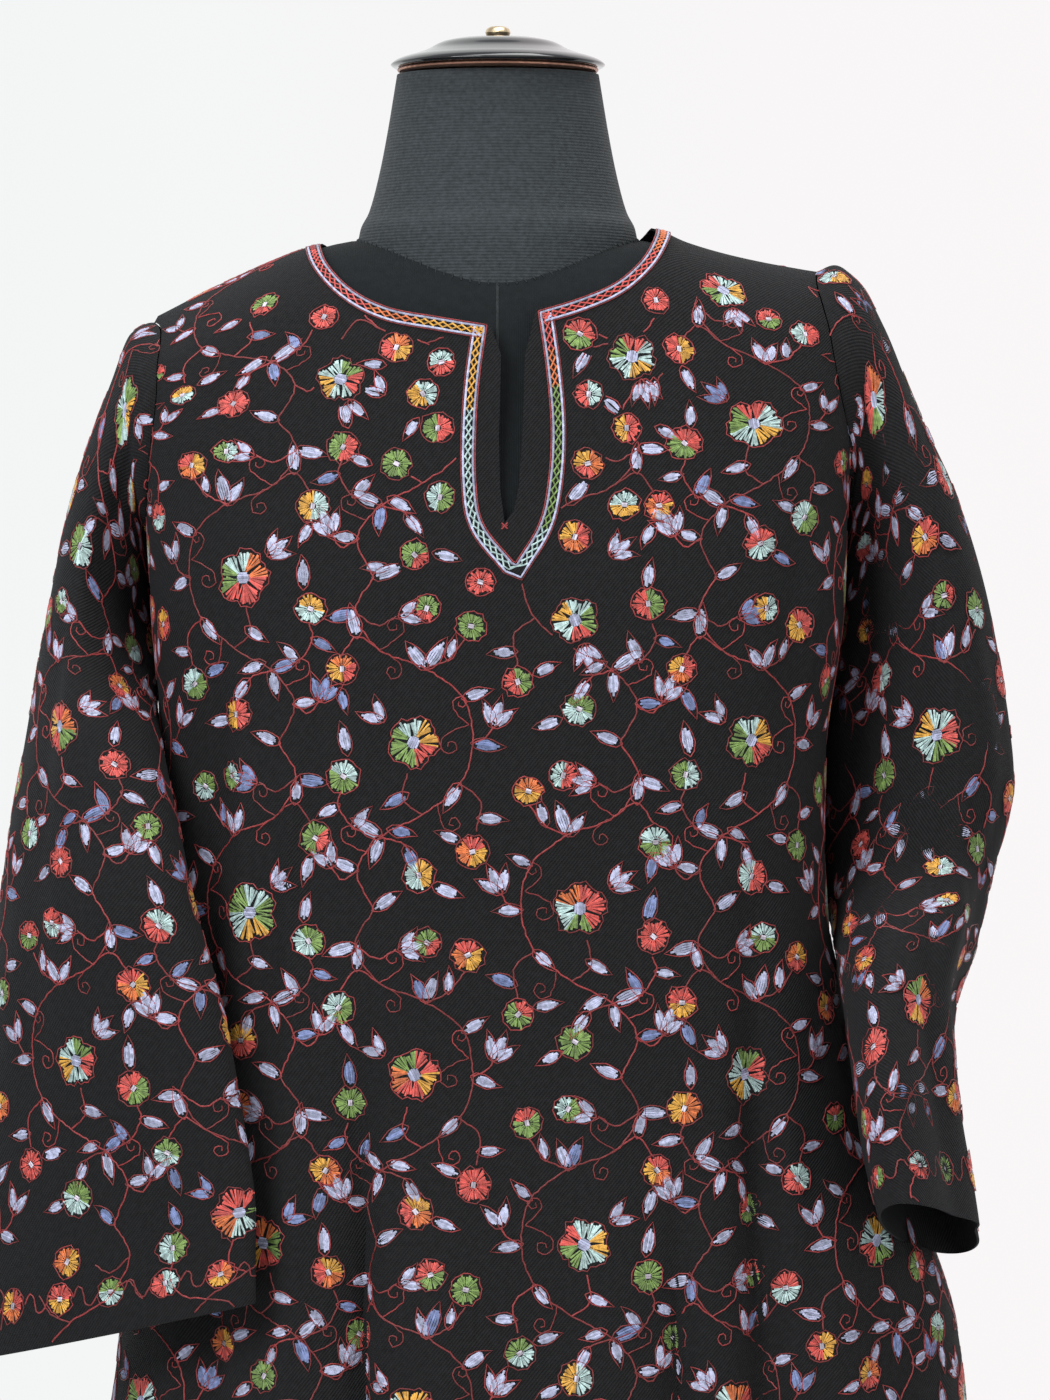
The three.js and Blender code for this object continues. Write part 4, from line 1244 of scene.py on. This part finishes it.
def wool_material():
    """Black twill: diagonal ribs in the cloth's own coordinates, with a fine nap."""
    wool = Nodes("wool_twill", (0.008, 0.0085, 0.0095), 0.85)
    uv = wool.add("ShaderNodeUVMap", uv_map="flat").outputs["UV"]
    split = wool.add("ShaderNodeSeparateXYZ")
    wool.link(uv, split.inputs[0])
    wander = wool.math("MULTIPLY", wool.noise(uv, 60.0, 1.0), 2.2)
    slant = wool.math("SUBTRACT", split.outputs["X"], wool.math("MULTIPLY", split.outputs["Y"], 0.82))
    ribs = wool.math("SINE", wool.math("ADD", wool.math("MULTIPLY", slant, 2 * math.pi / 0.0020), wander))
    yarn = wool.math("SINE", wool.math("MULTIPLY", split.outputs["Y"], 2 * math.pi / 0.0011))
    nap = wool.noise(uv, 1400.0, 3.0)
    height = wool.math("ADD", wool.math("MULTIPLY", ribs, 0.6), wool.math("MULTIPLY", nap, 0.9))
    height = wool.math("ADD", height, wool.math("MULTIPLY", yarn, 0.12))
    wool.bump(height, 0.00035, 0.9)
    shade = wool.math("ADD", wool.math("MULTIPLY", ribs, 0.22), wool.noise(uv, 300.0, 3.0))
    wool.ramp_colour(shade, (0.0042, 0.0042, 0.0046), (0.0125, 0.0125, 0.0135), 0.2, 0.85)
    wool.set("Sheen Weight", 0.035)
    wool.set("Sheen Roughness", 0.45)
    wool.set("Sheen Tint", (0.55, 0.58, 0.62, 1))
    wool.set("Specular IOR Level", 0.25)
    return wool.material


def thread_material(name, colour):
    thread = Nodes(f"thread_{name}", colour, 0.5)
    where = thread.add("ShaderNodeTexCoord").outputs["Object"]
    spots = thread.noise(where, 420.0, 2.0)
    dark = tuple(c * 0.62 for c in colour)
    light = tuple(min(1.0, c * 1.28 + 0.012) for c in colour)
    thread.ramp_colour(spots, dark, light, 0.3, 0.72)
    thread.bump(thread.noise(where, 2600.0, 2.0), 0.0002, 0.5)
    thread.set("Sheen Weight", 0.15)
    thread.set("Sheen Roughness", 0.4)
    thread.set("Specular IOR Level", 0.4)
    return thread.material


def jersey_material():
    jersey = Nodes("form_jersey", (0.012, 0.0145, 0.016), 0.9)
    where = jersey.add("ShaderNodeTexCoord").outputs["Object"]
    split = jersey.add("ShaderNodeSeparateXYZ")
    jersey.link(where, split.inputs[0])
    wales = jersey.math("SINE", jersey.math("MULTIPLY", split.outputs["X"], 2 * math.pi / 0.0012))
    height = jersey.math("ADD", jersey.math("MULTIPLY", wales, 0.4), jersey.noise(where, 1500.0))
    jersey.bump(height, 0.0002, 0.8)
    jersey.ramp_colour(jersey.noise(where, 240.0), (0.0105, 0.0125, 0.0135), (0.0130, 0.0155, 0.017))
    jersey.set("Sheen Weight", 0.02)
    jersey.set("Specular IOR Level", 0.12)
    return jersey.material


def knit_material():
    """Charcoal knit with fine level ribs."""
    knit = Nodes("form_knit", (0.034, 0.04, 0.044), 0.88)
    where = knit.add("ShaderNodeTexCoord").outputs["Object"]
    split = knit.add("ShaderNodeSeparateXYZ")
    knit.link(where, split.inputs[0])
    wander = knit.math("MULTIPLY", knit.noise(where, 90.0, 1.0), 1.6)
    level = knit.math("MULTIPLY", split.outputs["Z"], 2 * math.pi / 0.0017)
    ribs = knit.math("SINE", knit.math("ADD", level, wander))
    rib_height = knit.math("MULTIPLY", ribs, 0.4)
    height = knit.math("ADD", rib_height, knit.math("MULTIPLY", knit.noise(where, 1300.0), 0.9))
    knit.bump(height, 0.0003, 0.9)
    shade = knit.math("ADD", knit.math("MULTIPLY", ribs, 0.07), knit.noise(where, 420.0, 3.0))
    knit.ramp_colour(shade, (0.016, 0.02, 0.0225), (0.042, 0.051, 0.056), 0.2, 0.8)
    knit.set("Sheen Weight", 0.1)
    knit.set("Specular IOR Level", 0.35)
    return knit.material


def gloss_material(name, colour, roughness):
    gloss = Nodes(name, colour, roughness)
    where = gloss.add("ShaderNodeTexCoord").outputs["Object"]
    gloss.bump(gloss.noise(where, 160.0, 2.0), 0.0001, 0.12)
    dark, light = (tuple(c * scale for c in colour) for scale in (0.8, 1.2))
    gloss.ramp_colour(gloss.noise(where, 30.0), dark, light)
    gloss.set("Coat Weight", 0.6)
    gloss.set("Coat Roughness", 0.06)
    return gloss.material


def metal_material(name, colour, roughness, wear=1.0):
    """Wear is how much the metal's tone and surface vary."""
    metal = Nodes(name, colour, roughness, 1.0)
    where = metal.add("ShaderNodeTexCoord").outputs["Object"]
    metal.bump(metal.noise(where, 700.0, 3.0), 0.00012, 0.25 * wear)
    dark = tuple(c * (1 - 0.2 * wear) for c in colour)
    light = tuple(min(1, c * (1 + 0.12 * wear)) for c in colour)
    metal.ramp_colour(metal.noise(where, 90.0), dark, light)
    return metal.material


def wall_material():
    """Pale plaster with an even light of its own, cool at the left and warm at the right."""
    wall = Nodes("wall", (0.0, 0.0, 0.0), 1.0)
    wall.set("Specular IOR Level", 0.0)
    where = wall.add("ShaderNodeTexCoord").outputs["Object"]
    split = wall.add("ShaderNodeSeparateXYZ")
    wall.link(where, split.inputs[0])
    fade = wall.math("ADD", wall.math("MULTIPLY", split.outputs["X"], 0.23), 0.5)
    wall.ramp_colour(fade, (0.895, 0.915, 0.915), (0.96, 0.925, 0.935), 0.1, 0.9, "Emission Color")
    wall.set("Emission Strength", 1.0)
    return wall.material


def floor_material():
    floor = Nodes("floor", (0.7, 0.71, 0.71), 0.9)
    where = floor.add("ShaderNodeTexCoord").outputs["Object"]
    floor.ramp_colour(floor.noise(where, 3.0), (0.68, 0.69, 0.69), (0.72, 0.73, 0.73))
    return floor.material


# each thread is made twice: a darker copy as painted shade and a lighter copy as painted light
thread_materials = [
    thread_material(f"{name}_{k}", tuple(min(1.0, c * tone) for c in colour))
    for name, colour in THREADS.items()
    for k, tone in enumerate(LIT_AND_SHADED_TONES)
]
wool = wool_material()


# ------------------------------------------------------------------ making the cloth
tool_body = body_core()
tool_left = sleeve_core("tool_left", left_surface)
tool_right = sleeve_core("tool_right", right_surface)
tool_front_neck = prism("tool_front_neck", front_neck_outline(), -260, 4)
tool_back_neck = prism("tool_back_neck", back_neck_outline(), -4, 200)

front = body_panel("cloth_front", -1, 181, 150)
back = body_panel("cloth_back", 1, 121, 110)
left_sleeve = sleeve_shell("cloth_sleeve_left", left_surface, left_map, 132, 150)
right_sleeve = sleeve_shell("cloth_sleeve_right", right_surface, right_map, 132, 150)
subtract(front, [tool_left, tool_right, tool_front_neck])
subtract(back, [tool_left, tool_right, tool_back_neck])
subtract(left_sleeve, [tool_body], "MANIFOLD")
subtract(right_sleeve, [tool_body], "MANIFOLD")


def tree_of(obj):
    points = [v.co.copy() for v in obj.data.vertices]
    return BVHTree.FromPolygons(points, [list(p.vertices) for p in obj.data.polygons])


body_tree, left_tree, right_tree = tree_of(tool_body), tree_of(tool_left), tree_of(tool_right)
discard(tool_body, tool_left, tool_right, tool_front_neck, tool_back_neck)

SHEETS = (
    (front, "front", (0.77, 1.06), 0.585),
    (back, "back", (0.74, 1.06), 0.563),
    (left_sleeve, "sleeve_left", (0.39, 0.56), 0.175),
    (right_sleeve, "sleeve_right", (0.40, 0.54), 0.179),
)
for cloth, node, flat, area in SHEETS:
    cloth.data.materials.clear()
    cloth.data.materials.append(wool)
    sharpen(cloth, 50)
    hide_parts(node)
    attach(cloth, "root")

# ------------------------------------------------------------------ making the needlework
neck_outline = front_neck_outline()
back_outline = back_neck_outline()
band_edge = np.concatenate([BAND_LEFT, BAND_SLIT, BAND_RIGHT])
BAND_REACH = 10.0
SLIT_MIDDLE, SLIT_LOW, SLIT_HIGH = 8.5, 1225, 1350
SLEEVE_X, SLEEVE_Z = 150, 1200  # a sleeve can cover the body only beyond and above these


def by_slit(x, z, reach):
    return (np.abs(x - SLIT_MIDDLE) < reach) & (z > SLIT_LOW) & (z < SLIT_HIGH)


def outside_sleeves(points):
    x = points[..., 0]
    near = (np.abs(x) > SLEEVE_X) & (points[..., 2] > SLEEVE_Z)
    left = outside_of(left_tree, points, near & (x < 0))
    return left & outside_of(right_tree, points, near & (x > 0))


def on_front(points):
    x, z = points[..., 0], points[..., 2]
    free = ~polygon_contains(neck_outline, x, z) & (distance_to_line(band_edge, x, z) > BAND_REACH)
    return free & ~by_slit(x, z, 20) & outside_sleeves(points)


def on_back(points):
    x, z = points[..., 0], points[..., 2]
    free = ~polygon_contains(back_outline, x, z) & (distance_to_line(back_outline[1:-1], x, z) > 4)
    return free & outside_sleeves(points)


def on_sleeve(points):
    near = (np.abs(points[..., 0]) < 225) & (points[..., 2] > 1180)
    return outside_of(body_tree, points, near)


def level_of(drop):
    return float(np.interp(drop, front_map.vs, front_map.l))


def garland():
    """Flowers and leaves worked out from the neck's border, as x, z and what each is."""
    path = resample(band_edge, GARLAND_PITCH)
    along = np.gradient(path, axis=0)
    along /= np.maximum(np.linalg.norm(along, axis=1), 1e-9)[:, None]
    out = np.stack([along[:, 1], -along[:, 0]], 1)
    shoulder = np.array(SHOULDER_LINE, float)
    flowers, leaves = [], []
    for i, (point, away) in enumerate(zip(path, out)):
        reach, radius, kind = GARLAND_TRACKS[i % len(GARLAND_TRACKS)]
        x, z = (point + away * reach).tolist()
        sets = SMALL_SETS if kind == 1 else LARGE_SETS
        apart = all(math.hypot(x - u, z - w) > radius + r + 3 for u, w, r, k, c in flowers)
        clear = distance_to_line(band_edge, np.array([x]), np.array([z]))[0] > BAND_REACH + radius * 0.9
        if apart and clear and z + radius < np.interp(x, shoulder[:, 0], shoulder[:, 1]):
            flowers.append((x, z, radius, kind, sets[(5 * i + 2) % len(sets)]))
    for i, (point, away) in enumerate(zip(path, out)):
        for reach, lean, length in GARLAND_LEAVES[i % 2 :: 2]:
            x, z = (point + away * reach).tolist()
            direction = math.degrees(math.atan2(-away[1], away[0])) + lean
            tip_x = x + length * math.cos(math.radians(direction))
            tip_z = z - length * math.sin(math.radians(direction))
            spots = ((x, z), (tip_x, tip_z))
            gaps = [math.hypot(u - fx, w - fz) - r for u, w in spots for fx, fz, r, k, c in flowers]
            apart = min(gaps) > 2
            low = max(z, tip_z) + 4 < np.interp(x, shoulder[:, 0], shoulder[:, 1])
            tips = distance_to_line(band_edge, np.array([tip_x]), np.array([tip_z]))[0] > BAND_REACH
            if apart and low and tips:
                leaves.append((x, z, direction, length))
    return flowers, leaves


NECK_FLOWERS, NECK_LEAVES = garland()


def front_flat(x, z):
    """Flat coordinates of a place on the front panel given as seen from the front."""
    turn, drop = front_turn(np.array([x], float), np.array([z], float))
    return float(flat_across(front_map, HALF_TURN, turn[0], drop)[0]), level_of(drop[0])


def near_neck(s, l, radius):
    point = front_map.place(np.array([s]), np.array([l]))[0]
    x, z = point[:, 0], point[:, 2]
    if polygon_contains(neck_outline, x, z)[0] or by_slit(x, z, 23)[0]:
        return True
    if distance_to_line(band_edge, x, z)[0] < BAND_REACH + radius * 0.7:
        return True
    for fx, fz, flower_radius, *_ in NECK_FLOWERS:
        if math.hypot(x[0] - fx, z[0] - fz) < radius + flower_radius * 0.9:
            return True
    return l > front_map.l[-1] - BORDER_RISE - 8 - radius


def in_hem_border(used, rise):
    return lambda s, l, radius: l > used.l[-1] - rise - 8 - radius


def neck_motifs():
    """Flowers and small leaves that follow the neck's border."""
    work = Needlework()
    rng = np.random.default_rng(5)
    for x, z, radius, kind, colours in NECK_FLOWERS:
        s, l = front_flat(x, z)
        sew_flower(work, s, l, radius, kind, colours, rng)
        if kind == 2:
            sew_bud(work, s + radius * 0.4, l + radius + 1, 75, 12, "lavender", rng)
    for x, z, direction, length in NECK_LEAVES:
        s, l = front_flat(x, z)
        sew_leaf(work, s, l, direction, length, "lavender", rng)
    return work


neck_clear = np.array([(x, z, radius + 1.5) for x, z, radius, *_ in NECK_FLOWERS])


def on_front_field(points):
    free = on_front(points)
    for x, z, radius in neck_clear:
        free &= np.hypot(points[..., 0] - x, points[..., 2] - z) > radius
    return free


def bordered(work, used, rise, seed):
    """Adds the row of small flowers along a hem or cuff."""
    sew_border(work, used.low[-1] + 6, used.high[-1] - 6, used.l[-1] - rise, seed)
    return work


front_work = sew_field(4, 7, (46.0, level_of(SHOULDER_Z - 1210)), 100, near_neck)
back_work = sew_field(4, 7, (0.0, level_of(180)), 400, in_hem_border(back_map, BORDER_RISE))
left_work = sew_field(2, 5, (-20.0, 60.0), 700, in_hem_border(left_map, BORDER_RISE))
right_work = sew_field(2, 5, (-10.0, 70.0), 900, in_hem_border(right_map, BORDER_RISE))
NEEDLEWORK = (
    ("front", bordered(front_work, front_map, BORDER_RISE, 21), front_map, on_front_field),
    ("neck", neck_motifs(), front_map, on_front),
    ("back", bordered(back_work, back_map, BORDER_RISE, 22), back_map, on_back),
    ("sleeve_left", bordered(left_work, left_map, BORDER_RISE, 23), left_map, on_sleeve),
    ("sleeve_right", bordered(right_work, right_map, BORDER_RISE, 24), right_map, on_sleeve),
)
for place, work, used, allowed in NEEDLEWORK:
    vines = stitch_object(f"vines_{place}", work.lines, [], used, allowed)
    satin = stitch_object(f"satin_{place}", [], work.satins, used, allowed)
    for stitches in (vines, satin):
        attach(stitches, "root")
border = neck_border()
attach(border, "root")


# ------------------------------------------------------------------ dress form
def lathe(name, profile, sides, material, flute=0.0, flutes=0):
    profile = np.asarray(profile, float)
    angle = np.arange(sides) * 2 * math.pi / sides
    wave = 1 + flute * np.cos(flutes * angle)[None, :] / np.maximum(profile[:, 0:1], 1)
    radius = profile[:, 0:1] * wave
    rings = ellipses(radius, radius, angle, profile[:, 1:2])
    obj = closed_rings(name, rings[::-1])
    obj.data.materials.append(material)
    sharpen(obj, 38)
    return obj


def form_torso():
    drops = np.concatenate([[0, 0.6, 1.5, 3, 5, 8, 12, 17, 24, 32, 42, 54], np.linspace(66, 690, 44)])
    turn = np.arange(0, 360, 3.0)
    rings = form_surface(turn[None, :], drops[:, None])
    rings[0, :, 1] = 0
    floor_ring = rings[-1:] * (0.93, 0.93, 1)
    obj = closed_rings("torso_cover", np.concatenate([rings, floor_ring]))
    obj.data.materials.append(jersey_material())
    sharpen(obj, 60)
    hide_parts("form_torso")
    return obj


def form_neck():
    radius = Track(NECK_ROWS["z"], NECK_ROWS["radius"])
    z = np.linspace(1488, 1366, 70)
    angle = np.radians(np.arange(0, 360, 3.0) - 90)
    wide = radius(z)[:, None]
    rings = ellipses(wide, wide * NECK_DEPTH_RATIO, angle, z[:, None])
    rings = np.concatenate([rings[:1] * (0.96, 0.96, 1), rings])
    obj = closed_rings("neck_cover", rings)
    obj.data.materials.append(knit_material())
    sharpen(obj, 60)
    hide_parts("form_neck")
    return obj


def form_seams(torso, neck):
    """Hand stitches where the neck's cover is sewn to the torso's, and its centre front seam."""
    tree = tree_of(torso)
    radius = Track(NECK_ROWS["z"], NECK_ROWS["radius"])
    line = []
    for angle in np.radians(np.arange(0, 360, 3.0) - 90):
        for z in np.arange(1416, 1367, -0.4):
            wide = float(radius(z))
            spot = Vector((wide * math.cos(angle), wide * NECK_DEPTH_RATIO * math.sin(angle), z)) * MM
            near, normal, _, _ = tree.find_nearest(spot)
            if (spot - near).dot(normal) < 0:
                break
        line.append(np.array(spot) / MM)
    line = resample(np.array(line + line[:1]), SEAM_PITCH)
    outward = unit(line * (1, 1, 0) + (0, 0, 45))
    along = unit(np.gradient(line, axis=0))
    across = np.cross(along, outward)
    rise = np.linspace(-0.5, 0.5, 4)[None, :, None]
    slant = across[:, None] * rise * SEAM_STITCH + along[:, None] * rise * 1.2
    points = line[:, None] + slant + outward[:, None] * 0.5
    normals = np.repeat(outward[:, None], 4, axis=1)
    heights = np.tile([0.3, 0.9, 0.9, 0.3], (len(line), 1))
    strips = Strips()
    strips.add(points, normals, np.full(heights.shape, 0.9), heights)
    drops = np.linspace(9, 120, 60)
    for turn, width in ((0.0, 1.5), (180.0, 1.5)):
        spots = form_surface(turn, drops)[None]
        away = np.array([0.0, -1.0 if turn == 0 else 1.0, 0.25])
        lift = np.full((1, len(drops)), 0.55)
        strips.add(spots, np.broadcast_to(unit(away), spots.shape), lift * width / 0.55, lift)
    seam = Nodes("seam_thread", (0.014, 0.017, 0.018), 0.9)
    where = seam.add("ShaderNodeTexCoord").outputs["Object"]
    seam.ramp_colour(seam.noise(where, 500.0), (0.008, 0.010, 0.011), (0.020, 0.024, 0.026))
    seam.bump(seam.noise(where, 2400.0), 0.0001, 0.4)
    return strips.build("form_seams", [seam.material])


gloss = gloss_material("cap_gloss", (0.004, 0.004, 0.005), 0.12)
bronze = metal_material("rim_bronze", (0.52, 0.27, 0.19), 0.28)
gold = metal_material("knob_gold", (0.84, 0.66, 0.42), 0.32)
steel = metal_material("pole_steel", (0.55, 0.56, 0.58), 0.22, 0.15)
enamel = gloss_material("base_enamel", (0.018, 0.018, 0.02), 0.35)

CAP_Z = 1488.6
CAP_TOP = CAP_Z + 19.0
CAP_ROWS = rows(
    "drop radius",
    (0, 24), (1.6, 31), (6, 39.6), (8.6, 47), (10.6, 53.7), (12.6, 57.6), (14.2, 59), (15.2, 58),
)
cap_radius = Track(CAP_ROWS["drop"], CAP_ROWS["radius"])
cap_drops = np.concatenate([np.linspace(15.2, 14.2, 4), np.linspace(14, 0, 36)])
cap_profile = [(0.01, CAP_Z + 3.3), (57.0, CAP_Z + 3.3)]
cap_profile += [(float(cap_radius(d)), CAP_TOP - d) for d in cap_drops]
cap_profile += [(12, CAP_TOP + 0.3), (0.01, CAP_TOP + 0.4)]
rim_profile = [
    (0.01, CAP_Z), (46, CAP_Z), (53.6, CAP_Z + 0.5), (54.8, CAP_Z + 1.4), (55, CAP_Z + 2.2),
    (54.4, CAP_Z + 3.0), (0.01, CAP_Z + 3.0),
]
knob_z = CAP_Z + 19.7
KNOB_ROWS = ((0.01, 0), (4.6, 0), (6.2, 1), (7, 3), (6.2, 5), (4.2, 6.2), (0.01, 6.5))
knob_profile = [(radius, knob_z + rise) for radius, rise in KNOB_ROWS]
base_profile = [
    (0.01, 0), (183.5, 0), (185, 1.5), (185, 5), (183, 7.5), (177, 9.8), (60, 13.6), (44, 14.4),
    (36, 18), (31, 24), (29, 26), (0.01, 26),
]
pole_profile = [(0.01, 26.3), (14, 26.3), (14, 713.5), (0.01, 713.5)]
hard_pieces = (
    (lathe("cap", cap_profile, 96, gloss), "neck_cap", "gloss_black"),
    (lathe("cap_rim", rim_profile, 180, bronze, 0.35, 60), "neck_cap_rim", "bronze_trim"),
    (lathe("knob", knob_profile, 40, gold), "cap_knob", "pale_gold"),
    (lathe("pole_tube", pole_profile, 48, steel), "pole", "pole_steel"),
    (lathe("base_plate", base_profile, 120, enamel), "base", "base_black"),
)
for obj, node, slot in hard_pieces:
    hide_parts(node)
    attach(obj, "root")
torso = form_torso()
neck = form_neck()
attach(torso, "root")
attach(neck, "root")
seams = form_seams(torso, neck)
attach(seams, "root")

# ------------------------------------------------------------------ stage, light, camera
WALL_Y = 16.0


def plane(name, corners, material):
    mesh = bpy.data.meshes.new(name)
    mesh.from_pydata(corners, [], [(0, 1, 2, 3)])
    obj = new_object(name, mesh)
    obj.data.materials.append(material)
    return obj


WALL_HALF, WALL_LOW, WALL_HIGH = 28.0, -8.0, 22.0
FLOOR_HALF, FLOOR_Z = 2.6, -0.001
plane(
    "backdrop",
    [(-WALL_HALF, WALL_Y, WALL_LOW), (WALL_HALF, WALL_Y, WALL_LOW), (WALL_HALF, WALL_Y, WALL_HIGH),
     (-WALL_HALF, WALL_Y, WALL_HIGH)],
    wall_material(),
)
plane(
    "floor",
    [(-FLOOR_HALF, -FLOOR_HALF, FLOOR_Z), (FLOOR_HALF, -FLOOR_HALF, FLOOR_Z),
     (FLOOR_HALF, FLOOR_HALF, FLOOR_Z), (-FLOOR_HALF, FLOOR_HALF, FLOOR_Z)],
    floor_material(),
)


def area_light(name, place, target, size, power, colour):
    data = bpy.data.lights.new(name, "AREA")
    data.shape = "RECTANGLE"
    data.size, data.size_y = size
    data.energy = power
    data.color = colour
    obj = bpy.data.objects.new(name, data)
    obj.location = place
    obj.rotation_euler = (Vector(target) - Vector(place)).to_track_quat("-Z", "Y").to_euler()
    bpy.context.scene.collection.objects.link(obj)


area_light("key", (-1.6, -2.2, 2.7), (0, 0, 1.2), (1.6, 1.6), 74, (0.97, 0.99, 1.0))
area_light("fill", (2.2, -2.4, 1.7), (0, 0, 1.1), (2.0, 2.0), 26, (1.0, 0.97, 0.94))
area_light("top", (0.2, -0.2, 3.2), (0, 0, 1.3), (1.8, 1.2), 26, (1.0, 1.0, 1.0))

world = bpy.data.worlds.new("studio")
world.use_nodes = True
world.node_tree.nodes["Background"].inputs["Color"].default_value = (0.93, 0.96, 1.0, 1)
world.node_tree.nodes["Background"].inputs["Strength"].default_value = 0.45
bpy.context.scene.world = world

bpy.context.scene.view_settings.view_transform = "Standard"
CAMERA = {"x": 14.9, "z": 1144.3, "distance": 4000.0, "frame_height": 770.0}
camera_data = bpy.data.cameras.new("camera")
camera_data.sensor_fit = "VERTICAL"
camera_data.sensor_height = 36.0
camera_data.lens = 36.0 * CAMERA["distance"] / CAMERA["frame_height"]
camera_data.clip_end = 50
camera = bpy.data.objects.new("camera", camera_data)
camera.location = (CAMERA["x"] * MM, -CAMERA["distance"] * MM, CAMERA["z"] * MM)
camera.rotation_euler = (math.radians(90), 0, 0)
bpy.context.scene.collection.objects.link(camera)
bpy.context.scene.camera = camera
